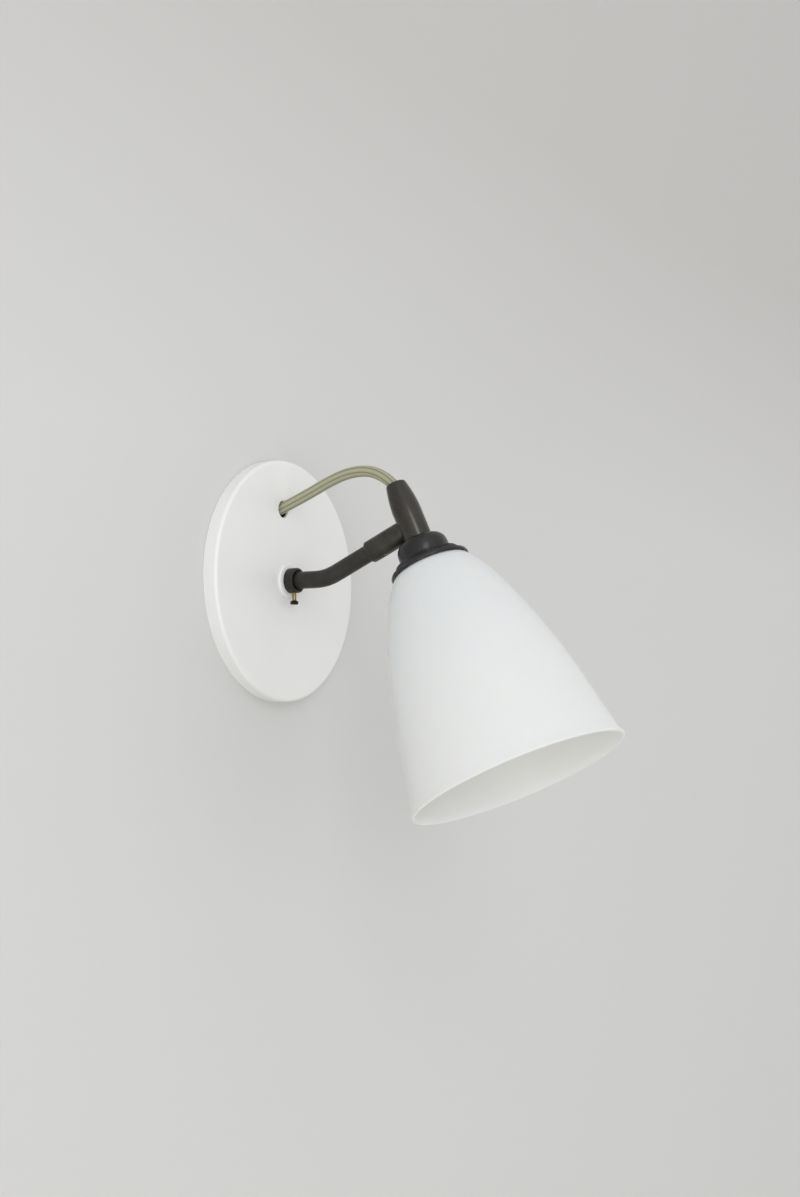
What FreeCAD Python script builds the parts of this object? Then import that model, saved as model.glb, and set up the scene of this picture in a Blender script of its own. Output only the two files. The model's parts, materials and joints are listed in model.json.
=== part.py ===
"""Swivelling wall lamp: a bent arm in a wall plate's collar, a tapered stem on a sleeve, and a bell shade.

The origin is the middle of the wall plate's back, on the wall. +Z is up and the lamp reaches out along -Y.
Lengths are in millimetres and angles in degrees.
"""
import FreeCAD, Part
import math
import os

import Sketcher
from FreeCAD import Placement, Rotation, Vector

SIZES = {
    # Wall plate: a pressed round dish, open towards the wall
    "plate_radius": 70.0,
    "plate_depth": 8.5,
    "plate_wall": 1.5,
    "plate_edge_round": 2.0,
    "flex_hole_radius": 4.9,
    "flex_hole_across": 5.2,
    "flex_hole_rise": 41.2,
    # Mounting strap, with slots for the two screws of a wall box
    "strap_length": 110.0,
    "strap_width": 20.0,
    "strap_thickness": 1.6,
    "strap_bridge_length": 42.0,
    "strap_slope_run": 5.0,
    "box_screw_spacing": 88.9,
    "box_slot_width": 4.5,
    "box_slot_length": 9.0,
    # Nut fixed behind the strap
    "nut_across_flats": 17.0,
    "nut_thickness": 3.0,
    "thread_gap": 0.1,
    # Collar with a threaded spigot, and its washer
    "collar_radius": 7.25,
    "collar_length": 5.8,
    "collar_edge_round": 0.6,
    "spigot_radius": 6.0,
    "spigot_wall_clearance": 1.2,
    "spigot_floor": 1.2,
    "spigot_hole_radius": 3.2,
    "washer_radius": 10.2,
    "washer_thickness": 1.5,
    "washer_round": 0.7,
    # Thumb screw under the collar
    "thumb_neck_radius": 1.2,
    "thumb_neck_length": 4.65,
    "thumb_head_radius": 2.3,
    "thumb_head_length": 2.0,
    "thumb_head_round": 0.4,
    "thumb_tip_chamfer": 0.3,
    "knurl_depth": 0.25,
    "knurl_width": 0.8,
    "knurl_count": 14,
    # Arm tube
    "tube_radius": 5.0,
    "tube_wall": 1.0,
    "tube_fit": 0.1,
    "tube_end_gap": 0.3,
    "arm_reach": 35.0,
    "arm_bend_radius": 32.0,
    "arm_rise": 25.16,
    "arm_slope_length": 63.5,
    "groove_depth": 0.4,
    "groove_width": 3.2,
    "screw_tip_gap": 0.15,
    # Sleeve that turns on the arm's end
    "sleeve_radius": 6.5,
    "sleeve_length": 31.4,
    "sleeve_end_round": 0.8,
    "sleeve_bore_floor": 11.0,
    "sleeve_bore_chamfer": 0.3,
    "sleeve_spigot_radius": 4.0,
    "sleeve_spigot_start": 5.0,
    "joint_gap": 0.05,
    "grub_screw_place": 22.0,
    "grub_screw_radius": 1.5,
    "grub_screw_recess": 0.5,
    "grub_socket_radius": 0.8,
    "grub_socket_depth": 0.8,
    # Stem: heights are above the point where the sleeve's axis meets the stem's
    "stem_foot_drop": 9.0,
    "stem_foot_radius": 7.95,
    "stem_waist_radius": 8.15,
    "stem_taper_start": 8.0,
    "stem_top_height": 26.8,
    "stem_top_radius": 5.8,
    "stem_edge_round": 0.4,
    "stem_mouth_radius": 5.25,
    "stem_mouth_flare": 4.0,
    "stem_counterbore_radius": 4.8,
    "grip_seat_height": 5.0,
    "nipple_radius": 5.0,
    # Flex
    "flex_radius": 3.25,
    "flex_fit": 0.3,
    "flex_inner_height": 15.0,
    # Grip bush and its screw, inside the stem
    "grip_length": 9.0,
    "grip_gap": 0.05,
    "grip_screw_height": 12.0,
    "grip_screw_radius": 1.4,
    "grip_screw_end": 8.6,
    "grip_screw_slot": 0.5,
    # Bun-shaped cap
    "cap_height": 11.5,
    "cap_top_radius": 10.8,
    "cap_widest_radius": 14.6,
    "cap_widest_drop": 5.6,
    "cap_base_radius": 14.0,
    "cap_wall": 1.4,
    # Milled ring and carrier
    "ring_radius": 18.5,
    "ring_thickness": 2.1,
    "notch_depth": 0.4,
    "notch_width": 0.7,
    "notch_count": 90,
    "carrier_step_radius": 19.6,
    "carrier_step_drop": 0.6,
    "carrier_lip_radius": 22.8,
    "carrier_lip_top_drop": 1.2,
    "carrier_lip_drop": 3.8,
    "carrier_lip_round": 0.9,
    "carrier_lip_wall": 0.9,
    "carrier_thickness": 2.3,
    "gasket_thickness": 0.8,
    "gasket_outer_radius": 18.2,
    # Bell shade
    "shade_height": 127.9,
    "shade_rim_radius": 61.65,
    "shade_wall": 2.4,
    "shade_rim_chamfer": 0.7,
    "shade_hole_radius": 14.6,
    # Lampholder, with the ring that holds the shade up against the carrier
    "holder_radius": 13.9,
    "holder_length": 33.0,
    "holder_roof": 7.2,
    "holder_entry_floor": 3.0,
    "holder_cavity_radius": 10.6,
    "holder_mouth_radius": 12.6,
    "holder_mouth_length": 7.0,
    "shade_ring_thickness": 2.0,
    "shade_ring_flange_radius": 17.0,
    "shade_ring_barrel_radius": 15.8,
    "shade_ring_barrel_length": 6.0,
    "shell_radius": 8.0,
    "shell_wall": 0.6,
    "shell_length": 21.0,
    "shell_flange_radius": 10.4,
    "contact_radius": 2.4,
    "contact_length": 2.5,
    # Bulb: a golf-ball globe on a small screw cap
    "bulb_length": 72.0,
    "bulb_radius": 22.5,
    "bulb_neck_radius": 7.4,
    "bulb_glass_wall": 0.8,
    "bulb_cap_radius": 6.9,
    "bulb_cap_wall": 0.5,
    "bulb_cap_length": 20.0,
    "bulb_tip_radius": 2.4,
    "bulb_tip_length": 1.2,
    "bulb_insulator_length": 2.6,
    "bulb_insulator_radius": 5.2,
    "contact_gap": 0.1,
    # Flex anchor and terminals, behind the wall plate
    "anchor_width": 17.0,
    "anchor_height": 19.0,
    "anchor_depth": 5.4,
    "anchor_corner_round": 3.0,
    "anchor_pocket_depth": 3.2,
    "core_radius": 0.9,
    "core_spacing": 3.4,
    "core_depth": 3.6,
    "core_lead": 1.5,
    "block_width": 12.0,
    "block_height": 10.0,
    "block_depth": 6.4,
    "block_rise": 19.0,
    "block_across": -3.5,
    "way_spacing": 5.0,
    "way_radius": 1.3,
    "way_depth": 3.5,
    "terminal_screw_radius": 1.4,
    "terminal_screw_length": 2.2,
    "earth_screw_across": 15.2,
    "earth_screw_radius": 1.9,
    "earth_head_radius": 3.4,
    "earth_head_height": 2.0,
    "tag_radius": 4.2,
    "tag_thickness": 0.8,
    "tag_barrel_radius": 1.6,
    "tag_barrel_length": 5.0,
}

# Shade outline from the rim to the crown: share of the rim radius, share of the height, arc height per
# chord up to the next point, and how many cones that arc is made of
SHADE_OUTLINE_SHARES = (
    (1.0, 0.0, 0.035, 1),
    (0.969, 0.0428, 0.004, 1),
    (0.880, 0.2732, -0.013, 2),
    (0.752, 0.5475, -0.018, 2),
    (0.522, 0.8605, -0.035, 2),
    (0.360, 0.9883, -0.129, 2),
    (0.3114, 1.0, 0.0, 1),
)
QUARTER_ROUND_SHARE = (math.sqrt(2.0) - 1.0) / 2.0
STEM_TAPER_BULGE_SHARE = 0.032
CAP_UPPER_BULGE_SHARE = 0.155
CAP_LOWER_BULGE_SHARE = 0.061
CARRIER_DISH_BULGE_SHARE = 0.08
BULB_NECK_BULGE_SHARE = 0.10
STRAP_MITRE_SHARE = 0.437
# Angles from the bulb's equator, in degrees, at which the cones of its ball meet
BULB_LOWER_ANGLES = (-62.0, -31.0)
BULB_UPPER_ANGLES = (26.0, 52.0)

# Route of the flex's middle line, from the anchor behind the plate over the arm and into the stem
FLEX_ROUTE = (
    (-5.2, -5.2, 40.9),
    (-4.5, -15.0, 44.9),
    (-3.7, -27.0, 50.0),
    (-2.9, -38.5, 55.4),
    (-2.2, -49.0, 59.2),
    (-1.5, -58.5, 60.5),
    (-1.0, -66.5, 59.6),
    (-0.5, -73.5, 56.3),
    (-0.1, -79.1, 51.9),
    (0.0, -83.25, 46.64),
    (0.0, -86.1, 40.57),
)
ARC_RUN_SHARE = 0.45


class Size:
    """A number together with the expression that gives it from the spreadsheet's cells."""

    def __init__(self, value, text):
        self.value = value
        self.text = text

    def __add__(self, other):
        return Size(self.value + number(other), f"({self.text} + {wording(other)})")

    def __sub__(self, other):
        return Size(self.value - number(other), f"({self.text} - {wording(other)})")

    def __mul__(self, other):
        return Size(self.value * number(other), f"({self.text} * {wording(other)})")

    def __truediv__(self, other):
        return Size(self.value / number(other), f"({self.text} / {wording(other)})")

    def __neg__(self):
        return Size(-self.value, f"(-1 * {self.text})")


def number(item):
    return item.value if isinstance(item, Size) else float(item)


def wording(item):
    return item.text if isinstance(item, Size) else repr(float(item))


def size(name):
    return Size(float(SIZES[name]), "Sizes." + name)


def cosine(angle):
    return Size(math.cos(math.radians(angle.value)), f"cos({angle.text})")


def sine(angle):
    return Size(math.sin(math.radians(angle.value)), f"sin({angle.text})")


def tangent(angle):
    return Size(math.tan(math.radians(angle.value)), f"tan({angle.text})")


def root(amount):
    return Size(math.sqrt(amount.value), f"sqrt({amount.text})")


ZERO = Size(0.0, "0")

doc = FreeCAD.newDocument("WallLamp")
sheet = doc.addObject("Spreadsheet::Sheet", "Sizes")
for row, (alias, amount) in enumerate(SIZES.items(), start=1):
    sheet.set(f"A{row}", alias)
    sheet.set(f"B{row}", str(amount))
    sheet.setAlias(f"B{row}", alias)
doc.recompute()

NODES = []


def keep(item, placement=None):
    """Names a finished piece as a node of the lamp and puts it in its place."""
    if placement is not None:
        item.Placement = placement
    NODES.append(item)
    return item


def new_body(name):
    body = doc.addObject("PartDesign::Body", name)
    body.Label = name
    return body


def new_sketch(body, plane, name):
    """Starts a sketch on one of the body's own origin planes."""
    sketch = body.newObject("Sketcher::SketchObject", name)
    for feature in body.Origin.OriginFeatures:
        if feature.Role == plane:
            sketch.AttachmentSupport = [(feature, "")]
    sketch.MapMode = "FlatFace"
    return sketch


def lift(sketch, height):
    """Moves a sketch off its plane, along the plane's normal."""
    sketch.setExpression("AttachmentOffset.Base.z", height.text)


def pin(sketch, element, end, across, up):
    """Fixes one point of a sketch at two sizes from the sketch's origin."""
    for kind, axis, amount in (("DistanceX", -2, across), ("DistanceY", -1, up)):
        if amount is ZERO:
            sketch.addConstraint(Sketcher.Constraint("PointOnObject", element, end, axis))
        else:
            index = sketch.addConstraint(Sketcher.Constraint(kind, -1, 1, element, end, amount.value))
            sketch.setExpression(f"Constraints[{index}]", amount.text)


def bow(start, finish, bulge):
    """Gives the arc from start to finish whose height is bulge times its chord, and its radius as a Size."""
    run = finish[0] - start[0]
    rise = finish[1] - start[1]
    chord = root(run * run + rise * rise)
    radius = chord * ((0.25 + bulge * bulge) / (2.0 * abs(bulge)))
    left = Vector(-rise.value, run.value, 0.0).normalize()
    middle = Vector((start[0] + finish[0]).value / 2.0, (start[1] + finish[1]).value / 2.0, 0.0)
    back = (radius.value - abs(bulge) * chord.value) * math.copysign(1.0, bulge)
    centre = middle - left * back
    ends = (start, finish) if bulge < 0.0 else (finish, start)
    angles = [math.atan2(point[1].value - centre.y, point[0].value - centre.x) for point in ends]
    if angles[1] < angles[0]:
        angles[1] += 2.0 * math.pi
    circle = Part.Circle(centre, Vector(0.0, 0.0, 1.0), radius.value)
    return Part.ArcOfCircle(circle, angles[0], angles[1]), radius


def banded(start, finish, bulge, bands):
    """Points from start to just before finish on a bow, which turns into as many cones as there are bands.

    A positive bulge, the bow's height over its chord, lies to the left of the way that it is drawn.
    """
    run = finish[0] - start[0]
    rise = finish[1] - start[1]
    points = [start]
    for band in range(1, bands):
        share = band / bands
        height = 4.0 * bulge * share * (1.0 - share)
        points.append((start[0] + run * share - rise * height, start[1] + rise * share + run * height))
    return points


def draw(sketch, steps, closed=True):
    """Draws lines and arcs through steps (across, up, bulge), where a missing bulge is a straight line.

    A positive bulge bows the arc to the left of the way that it is drawn.
    """
    count = len(steps) if closed else len(steps) - 1
    first_end = None
    last_end = None
    for i in range(count):
        start = steps[i]
        finish = steps[(i + 1) % len(steps)]
        bulge = start[2] if len(start) > 2 else 0.0
        if bulge:
            shape, radius = bow(start, finish, bulge)
            element = sketch.addGeometry(shape)
            index = sketch.addConstraint(Sketcher.Constraint("Radius", element, radius.value))
            sketch.setExpression(f"Constraints[{index}]", radius.text)
            ends = (1, 2) if bulge < 0.0 else (2, 1)
        else:
            line = Part.LineSegment(
                Vector(start[0].value, start[1].value, 0.0), Vector(finish[0].value, finish[1].value, 0.0)
            )
            element = sketch.addGeometry(line)
            ends = (1, 2)
        if last_end is not None:
            sketch.addConstraint(Sketcher.Constraint("Coincident", *last_end, element, ends[0]))
        else:
            first_end = (element, ends[0])
        pin(sketch, element, ends[0], start[0], start[1])
        last_end = (element, ends[1])
    if closed:
        sketch.addConstraint(Sketcher.Constraint("Coincident", *last_end, *first_end))
    else:
        pin(sketch, *last_end, steps[-1][0], steps[-1][1])
    return sketch


def draw_circle(sketch, across, up, radius):
    shape = Part.Circle(Vector(across.value, up.value, 0.0), Vector(0.0, 0.0, 1.0), radius.value)
    element = sketch.addGeometry(shape)
    index = sketch.addConstraint(Sketcher.Constraint("Radius", element, radius.value))
    sketch.setExpression(f"Constraints[{index}]", radius.text)
    pin(sketch, element, 3, across, up)
    return sketch


def box_steps(left, bottom, right, top):
    return ((left, bottom), (right, bottom), (right, top), (left, top))


def turned(name, steps):
    """Turns an outline, given as steps from the axis out and along it, about its own Z axis."""
    body = new_body(name)
    sketch = draw(new_sketch(body, "XZ_Plane", name + "_outline"), steps)
    revolve(body, sketch, name + "_turning")
    return body


def revolve(body, sketch, name, kind="Revolution", axis="V_Axis"):
    feature = body.newObject("PartDesign::" + kind, name)
    feature.Profile = sketch
    feature.ReferenceAxis = (sketch, [axis])
    feature.Angle = 360.0
    doc.recompute()
    return feature


def pad(body, sketch, length, name, symmetric=False, reverse=False):
    feature = body.newObject("PartDesign::Pad", name)
    feature.Profile = sketch
    feature.setExpression("Length", length.text)
    if symmetric:
        feature.SideType = "Symmetric"
    feature.Reversed = reverse
    doc.recompute()
    return feature


def pocket(body, sketch, name, length=None, reverse=False):
    """Cuts a sketch out of the body, right through or to a length. It has to take something away."""
    before = body.Shape.Volume
    feature = body.newObject("PartDesign::Pocket", name)
    feature.Profile = sketch
    feature.Reversed = reverse
    if length is None:
        feature.Type = "ThroughAll"
    else:
        feature.setExpression("Length", length.text)
    doc.recompute()
    if body.Shape.Volume >= before:
        raise ValueError(name + " cuts nothing")
    return feature


def hollow(body, wall, name):
    """Shells the body to a wall, open at its lowest flat face."""
    base = body.Tip
    heights = [face.BoundBox.ZMax for face in base.Shape.Faces]
    lowest = heights.index(min(heights)) + 1
    feature = body.newObject("PartDesign::Thickness", name)
    feature.Base = (base, [f"Face{lowest}"])
    feature.setExpression("Value", wall.text)
    feature.Join = "Intersection"
    feature.Reversed = True
    doc.recompute()
    return feature


def ring_of(body, feature, count, name, axis="Z_Axis"):
    """Repeats a cut round the body's own axis."""
    pattern = body.newObject("PartDesign::PolarPattern", name)
    pattern.Originals = [feature]
    for part in body.Origin.OriginFeatures:
        if part.Role == axis:
            pattern.Axis = (part, [""])
    pattern.Angle = 360.0
    pattern.setExpression("Occurrences", count.text)
    body.Tip = pattern
    doc.recompute()
    return pattern


def tube_through(name, points, radius, share):
    """A round solid along straight runs joined by tangent arcs, each as large as its two runs allow."""
    corners = [Vector(*point) for point in points]
    edges = []
    start = corners[0]
    radii = []
    for before, corner, after in zip(corners, corners[1:], corners[2:]):
        way_in = (corner - before).normalize()
        way_out = (after - corner).normalize()
        leg = share * min((corner - before).Length, (after - corner).Length)
        half_turn = way_in.getAngle(way_out) / 2.0
        bend = leg / math.tan(half_turn)
        radii.append(bend)
        enter = corner - way_in * leg
        leave = corner + way_out * leg
        towards_centre = (way_out - way_in).normalize()
        centre = corner + towards_centre * (bend / math.cos(half_turn))
        edges.append(Part.LineSegment(start, enter).toShape())
        edges.append(Part.Arc(enter, centre - towards_centre * bend, leave).toShape())
        start = leave
    edges.append(Part.LineSegment(start, corners[-1]).toShape())
    path = Part.Wire(edges)
    mouth = Part.Wire(Part.Circle(corners[0], corners[1] - corners[0], radius).toShape())
    solid = path.makePipeShell([mouth], True, False)
    expected = math.pi * radius * radius * path.Length
    share_of_expected = round(solid.Volume / expected, 4)
    print(name, "length", round(path.Length, 2), "volume over section x length", share_of_expected)
    print(name, "bend radii", [round(bend, 1) for bend in radii])
    item = doc.addObject("Part::Feature", name)
    item.Label = name
    item.Shape = solid
    return item


# Frames of the pieces: facing out of the wall, along the head's axis, and along the sleeve
FACING = Rotation(Vector(1.0, 0.0, 0.0), 90.0)
FROM_WALL = Placement(Vector(0.0, 0.0, 0.0), FACING)
arm_rise = size("arm_rise")
swivel = Vector(
    0.0,
    -(size("arm_reach") + size("arm_slope_length") * cosine(arm_rise)).value,
    (size("arm_slope_length") * sine(arm_rise)).value,
)
HEAD = Placement(swivel, Rotation(Vector(1.0, 0.0, 0.0), -arm_rise.value))
ALONG_SLEEVE = HEAD.multiply(Placement(Vector(0.0, 0.0, 0.0), Rotation(Vector(1.0, 0.0, 0.0), -90.0)))


def raised(frame, height):
    """The same frame, moved up its own Z axis."""
    return frame.multiply(Placement(Vector(0.0, 0.0, height.value), Rotation()))


# Wall plate
plate_depth = size("plate_depth")
plate_wall = size("plate_wall")
plate_inside = plate_depth - plate_wall
spigot_radius = size("spigot_radius")
thread_gap = size("thread_gap")


def make_wall_plate():
    radius = size("plate_radius")
    edge = size("plate_edge_round")
    body = turned("wall_plate", (
        (ZERO, ZERO),
        (radius, ZERO),
        *banded((radius, plate_depth - edge), (radius - edge, plate_depth), -QUARTER_ROUND_SHARE, 3),
        (radius - edge, plate_depth),
        (ZERO, plate_depth),
    ))
    hollow(body, plate_wall, "wall_plate_pressing")
    hole_radius = spigot_radius + thread_gap
    middle = draw_circle(new_sketch(body, "XY_Plane", "spigot_hole_circle"), ZERO, ZERO, hole_radius)
    pocket(body, middle, "spigot_hole", reverse=True)
    flex_hole = draw_circle(
        new_sketch(body, "XY_Plane", "flex_hole_circle"),
        -size("flex_hole_across"), size("flex_hole_rise"), size("flex_hole_radius"),
    )
    pocket(body, flex_hole, "flex_hole", reverse=True)
    return keep(body, FROM_WALL)


def slot_steps(middle, half_length, half_width):
    reach = half_length - half_width
    return (
        (middle - reach, -half_width),
        (middle + reach, -half_width, -QUARTER_ROUND_SHARE),
        (middle + half_length, ZERO, -QUARTER_ROUND_SHARE),
        (middle + reach, half_width),
        (middle - reach, half_width, -QUARTER_ROUND_SHARE),
        (middle - half_length, ZERO, -QUARTER_ROUND_SHARE),
    )


def make_mounting_strap():
    body = new_body("mounting_strap")
    thick = size("strap_thickness")
    end = size("strap_length") / 2.0
    foot = size("strap_bridge_length") / 2.0 + size("strap_slope_run")
    bridge = size("strap_bridge_length") / 2.0
    under = plate_inside - thick
    mitre = thick * STRAP_MITRE_SHARE
    side = (
        (end, ZERO), (end, thick), (foot + mitre, thick), (bridge + mitre, plate_inside),
    )
    back = ((bridge, under), (foot, ZERO))
    mirrored = tuple((-across, up) for across, up in reversed(side))
    mirrored_back = tuple((-across, up) for across, up in reversed(back))
    outline = side + mirrored + mirrored_back + back
    sketch = draw(new_sketch(body, "XZ_Plane", "strap_side"), outline)
    pad(body, sketch, size("strap_width"), "strap_bending", symmetric=True)
    half_length = size("box_slot_length") / 2.0
    half_width = size("box_slot_width") / 2.0
    place = size("box_screw_spacing") / 2.0
    for side_name, middle in (("left", -place), ("right", place)):
        steps = slot_steps(middle, half_length, half_width)
        slot = draw(new_sketch(body, "XY_Plane", side_name + "_slot_line"), steps)
        pocket(body, slot, side_name + "_slot", reverse=True)
    hole_radius = spigot_radius + thread_gap
    holes = draw_circle(new_sketch(body, "XY_Plane", "strap_hole_circle"), ZERO, ZERO, hole_radius)
    draw_circle(holes, -size("earth_screw_across"), ZERO, size("earth_screw_radius") + thread_gap)
    pocket(body, holes, "strap_holes", reverse=True)
    return keep(body, FROM_WALL)


def make_strap_nut():
    body = new_body("strap_nut")
    corner = size("nut_across_flats") / (2.0 * math.cos(math.pi / 6.0))
    steps = []
    for i in range(6):
        angle = i * math.pi / 3.0
        across = ZERO if abs(math.cos(angle)) < 1e-9 else corner * math.cos(angle)
        up = ZERO if abs(math.sin(angle)) < 1e-9 else corner * math.sin(angle)
        steps.append((across, up))
    sketch = draw(new_sketch(body, "XY_Plane", "nut_hexagon"), steps)
    draw_circle(sketch, ZERO, ZERO, spigot_radius + thread_gap)
    pad(body, sketch, size("nut_thickness"), "nut_blank")
    under = plate_inside - size("strap_thickness") - size("nut_thickness")
    return keep(body, raised(FROM_WALL, under))


# Collar, washer and thumb screw
washer_top = plate_depth + size("washer_thickness")
collar_front = washer_top + size("collar_length")
socket_floor = size("spigot_wall_clearance") + size("spigot_floor")
thumb_place = washer_top + size("collar_length") / 2.0
tube_bore = size("tube_radius") + size("tube_fit")
groove_radius = size("tube_radius") - size("groove_depth")
screw_tip = groove_radius + size("screw_tip_gap")


def make_collar_washer():
    radius = size("washer_radius")
    edge = size("washer_round")
    body = turned("collar_washer", (
        (spigot_radius + thread_gap, ZERO),
        (radius, ZERO),
        (radius, size("washer_thickness") - edge),
        (radius - edge, size("washer_thickness")),
        (spigot_radius + thread_gap, size("washer_thickness")),
    ))
    return keep(body, raised(FROM_WALL, plate_depth))


def make_arm_socket():
    back = size("spigot_wall_clearance")
    edge = size("collar_edge_round")
    radius = size("collar_radius")
    body = turned("arm_socket", (
        (size("spigot_hole_radius"), back),
        (spigot_radius - edge, back),
        (spigot_radius, back + edge),
        (spigot_radius, washer_top),
        (radius, washer_top),
        (radius, collar_front - edge),
        (radius - edge, collar_front),
        (tube_bore, collar_front),
        (tube_bore, socket_floor),
        (size("spigot_hole_radius"), socket_floor),
    ))
    hole_radius = size("thumb_neck_radius") + thread_gap
    hole = draw_circle(new_sketch(body, "XZ_Plane", "thumb_hole_circle"), ZERO, thumb_place, hole_radius)
    pocket(body, hole, "thumb_hole", reverse=True)
    return keep(body, FROM_WALL)


def make_thumb_screw():
    """The knurled screw's Z axis points down, away from the arm's axis."""
    neck = size("thumb_neck_radius")
    chamfer = size("thumb_tip_chamfer")
    head = size("thumb_head_radius")
    edge = size("thumb_head_round")
    head_start = size("collar_radius") + size("thumb_neck_length")
    head_end = head_start + size("thumb_head_length")
    body = turned("thumb_screw", (
        (ZERO, screw_tip),
        (neck - chamfer, screw_tip),
        (neck, screw_tip + chamfer),
        (neck, head_start),
        (head - edge, head_start),
        (head, head_start + edge),
        (head, head_end - edge),
        (head - edge, head_end),
        (ZERO, head_end),
    ))
    notch_ring(body, head, size("knurl_depth"), size("knurl_width") / 2.0, size("knurl_count"), head_end,
               size("thumb_head_length"), "knurl")
    placement = Placement(Vector(0.0, -thumb_place.value, 0.0), Rotation(Vector(1.0, 0.0, 0.0), 180.0))
    return keep(body, placement)


def notch_ring(body, radius, depth, width, count, top, height, name):
    """Cuts V notches down the outside of a turned piece, all the way round."""
    sketch = new_sketch(body, "XY_Plane", name + "_line")
    lift(sketch, top)
    draw(sketch, ((radius - depth, ZERO), (radius + depth, -width), (radius + depth, width)))
    first = pocket(body, sketch, name + "_first", length=height)
    ring_of(body, first, count, name + "_ring")


# Arm
def make_arm_tube():
    """The tube starts in the collar, runs out level, bends up and ends in the sleeve."""
    body = new_body("arm_tube")
    inner_end = socket_floor + size("tube_end_gap")
    leg = size("arm_bend_radius") * tangent(arm_rise / 2.0)
    reach = size("arm_reach") - inner_end
    slope_end = size("arm_slope_length") - size("sleeve_bore_floor") - size("tube_end_gap")
    bend_start = -(reach - leg)
    bend_end = (-(reach + leg * cosine(arm_rise)), leg * sine(arm_rise))
    far_end = (-(reach + slope_end * cosine(arm_rise)), slope_end * sine(arm_rise))
    bend_bulge = math.tan(math.radians(arm_rise.value) / 4.0) / 2.0
    path = draw(new_sketch(body, "YZ_Plane", "arm_path"), (
        (ZERO, ZERO), (bend_start, ZERO, bend_bulge), bend_end, far_end,
    ), closed=False)
    section = draw_circle(new_sketch(body, "XZ_Plane", "arm_section"), ZERO, ZERO, size("tube_radius"))
    draw_circle(section, ZERO, ZERO, size("tube_radius") - size("tube_wall"))
    doc.recompute()
    pipe = body.newObject("PartDesign::AdditivePipe", "arm_bending")
    pipe.Profile = section
    pipe.Spine = (path, ["Edge1", "Edge2", "Edge3"])
    doc.recompute()
    half = size("groove_width") / 2.0
    place = -(thumb_place - inner_end)
    over = size("tube_radius") + size("groove_depth")
    groove_steps = box_steps(place - half, groove_radius, place + half, over)
    near = draw(new_sketch(body, "YZ_Plane", "thumb_groove_line"), groove_steps)
    revolve(body, near, "thumb_groove", "Groove", "H_Axis")
    slope = arm_rise
    middle = size("arm_slope_length") - size("grub_screw_place")

    def on_slope(along, aside):
        return (
            -(reach + along * cosine(slope)) + aside * sine(slope),
            along * sine(slope) + aside * cosine(slope),
        )

    far = draw(new_sketch(body, "YZ_Plane", "grub_groove_line"), (
        on_slope(middle + half, groove_radius), on_slope(middle - half, groove_radius),
        on_slope(middle - half, over), on_slope(middle + half, over),
    ))
    axis = far.addGeometry(Part.LineSegment(
        Vector(*[item.value for item in on_slope(middle - half, ZERO)], 0.0),
        Vector(*[item.value for item in on_slope(middle + half, ZERO)], 0.0),
    ), True)
    pin(far, axis, 1, *on_slope(middle - half, ZERO))
    pin(far, axis, 2, *on_slope(middle + half, ZERO))
    revolve(body, far, "grub_groove", "Groove", "Axis0")
    return keep(body, Placement(Vector(0.0, -inner_end.value, 0.0), Rotation()))


# Head: sleeve, stem and what they hold. Heights are above the swivel point.
stem_foot = -size("stem_foot_drop")
cap_base = stem_foot - size("cap_height")
ring_base = cap_base - size("ring_thickness")
carrier_base = ring_base - size("carrier_thickness")
shade_top = carrier_base - size("gasket_thickness")
rim_height = shade_top - size("shade_height")
nipple_bore = size("flex_radius") + size("flex_fit")
nipple_end = carrier_base - size("holder_roof") + size("holder_entry_floor")


def make_swivel_sleeve():
    """The sleeve's Z axis runs from the stem towards the wall, and its Y axis points to its underside."""
    radius = size("sleeve_radius")
    end = size("sleeve_length")
    edge = size("sleeve_end_round")
    chamfer = size("sleeve_bore_chamfer")
    start = size("sleeve_spigot_start")
    body = turned("swivel_sleeve", (
        (ZERO, start),
        (radius, start),
        (radius, end - edge),
        (radius - edge, end),
        (tube_bore + chamfer, end),
        (tube_bore, end - chamfer),
        (tube_bore, size("sleeve_bore_floor")),
        (ZERO, size("sleeve_bore_floor")),
    ))
    gap = size("joint_gap")
    cope = draw(new_sketch(body, "XY_Plane", "cope_line"), (
        (ZERO, -size("stem_taper_start")),
        (size("stem_waist_radius") + gap, -size("stem_taper_start")),
        (size("stem_foot_radius") + gap, size("stem_foot_drop")),
        (ZERO, size("stem_foot_drop")),
    ))
    revolve(body, cope, "cope", "Groove")
    spigot = draw(new_sketch(body, "XZ_Plane", "sleeve_spigot_line"), (
        (ZERO, start), (size("sleeve_spigot_radius"), start),
        (size("sleeve_spigot_radius"), size("sleeve_bore_floor")), (ZERO, size("sleeve_bore_floor")),
    ))
    revolve(body, spigot, "sleeve_spigot")
    hole = draw_circle(
        new_sketch(body, "XZ_Plane", "grub_hole_circle"),
        ZERO, size("grub_screw_place"), size("grub_screw_radius") + thread_gap,
    )
    pocket(body, hole, "grub_hole")
    return keep(body, ALONG_SLEEVE)


def make_sleeve_grub_screw():
    """The screw's Z axis points out of the sleeve's underside."""
    radius = size("grub_screw_radius")
    end = size("sleeve_radius") - size("grub_screw_recess")
    socket = end - size("grub_socket_depth")
    body = turned("sleeve_grub_screw", (
        (ZERO, screw_tip), (radius, screw_tip), (radius, end),
        (size("grub_socket_radius"), end), (size("grub_socket_radius"), socket), (ZERO, socket),
    ))
    place = Placement(
        Vector(0.0, size("grub_screw_place").value, 0.0), Rotation(Vector(1.0, 0.0, 0.0), 180.0)
    )
    return keep(body, HEAD.multiply(place))


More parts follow.
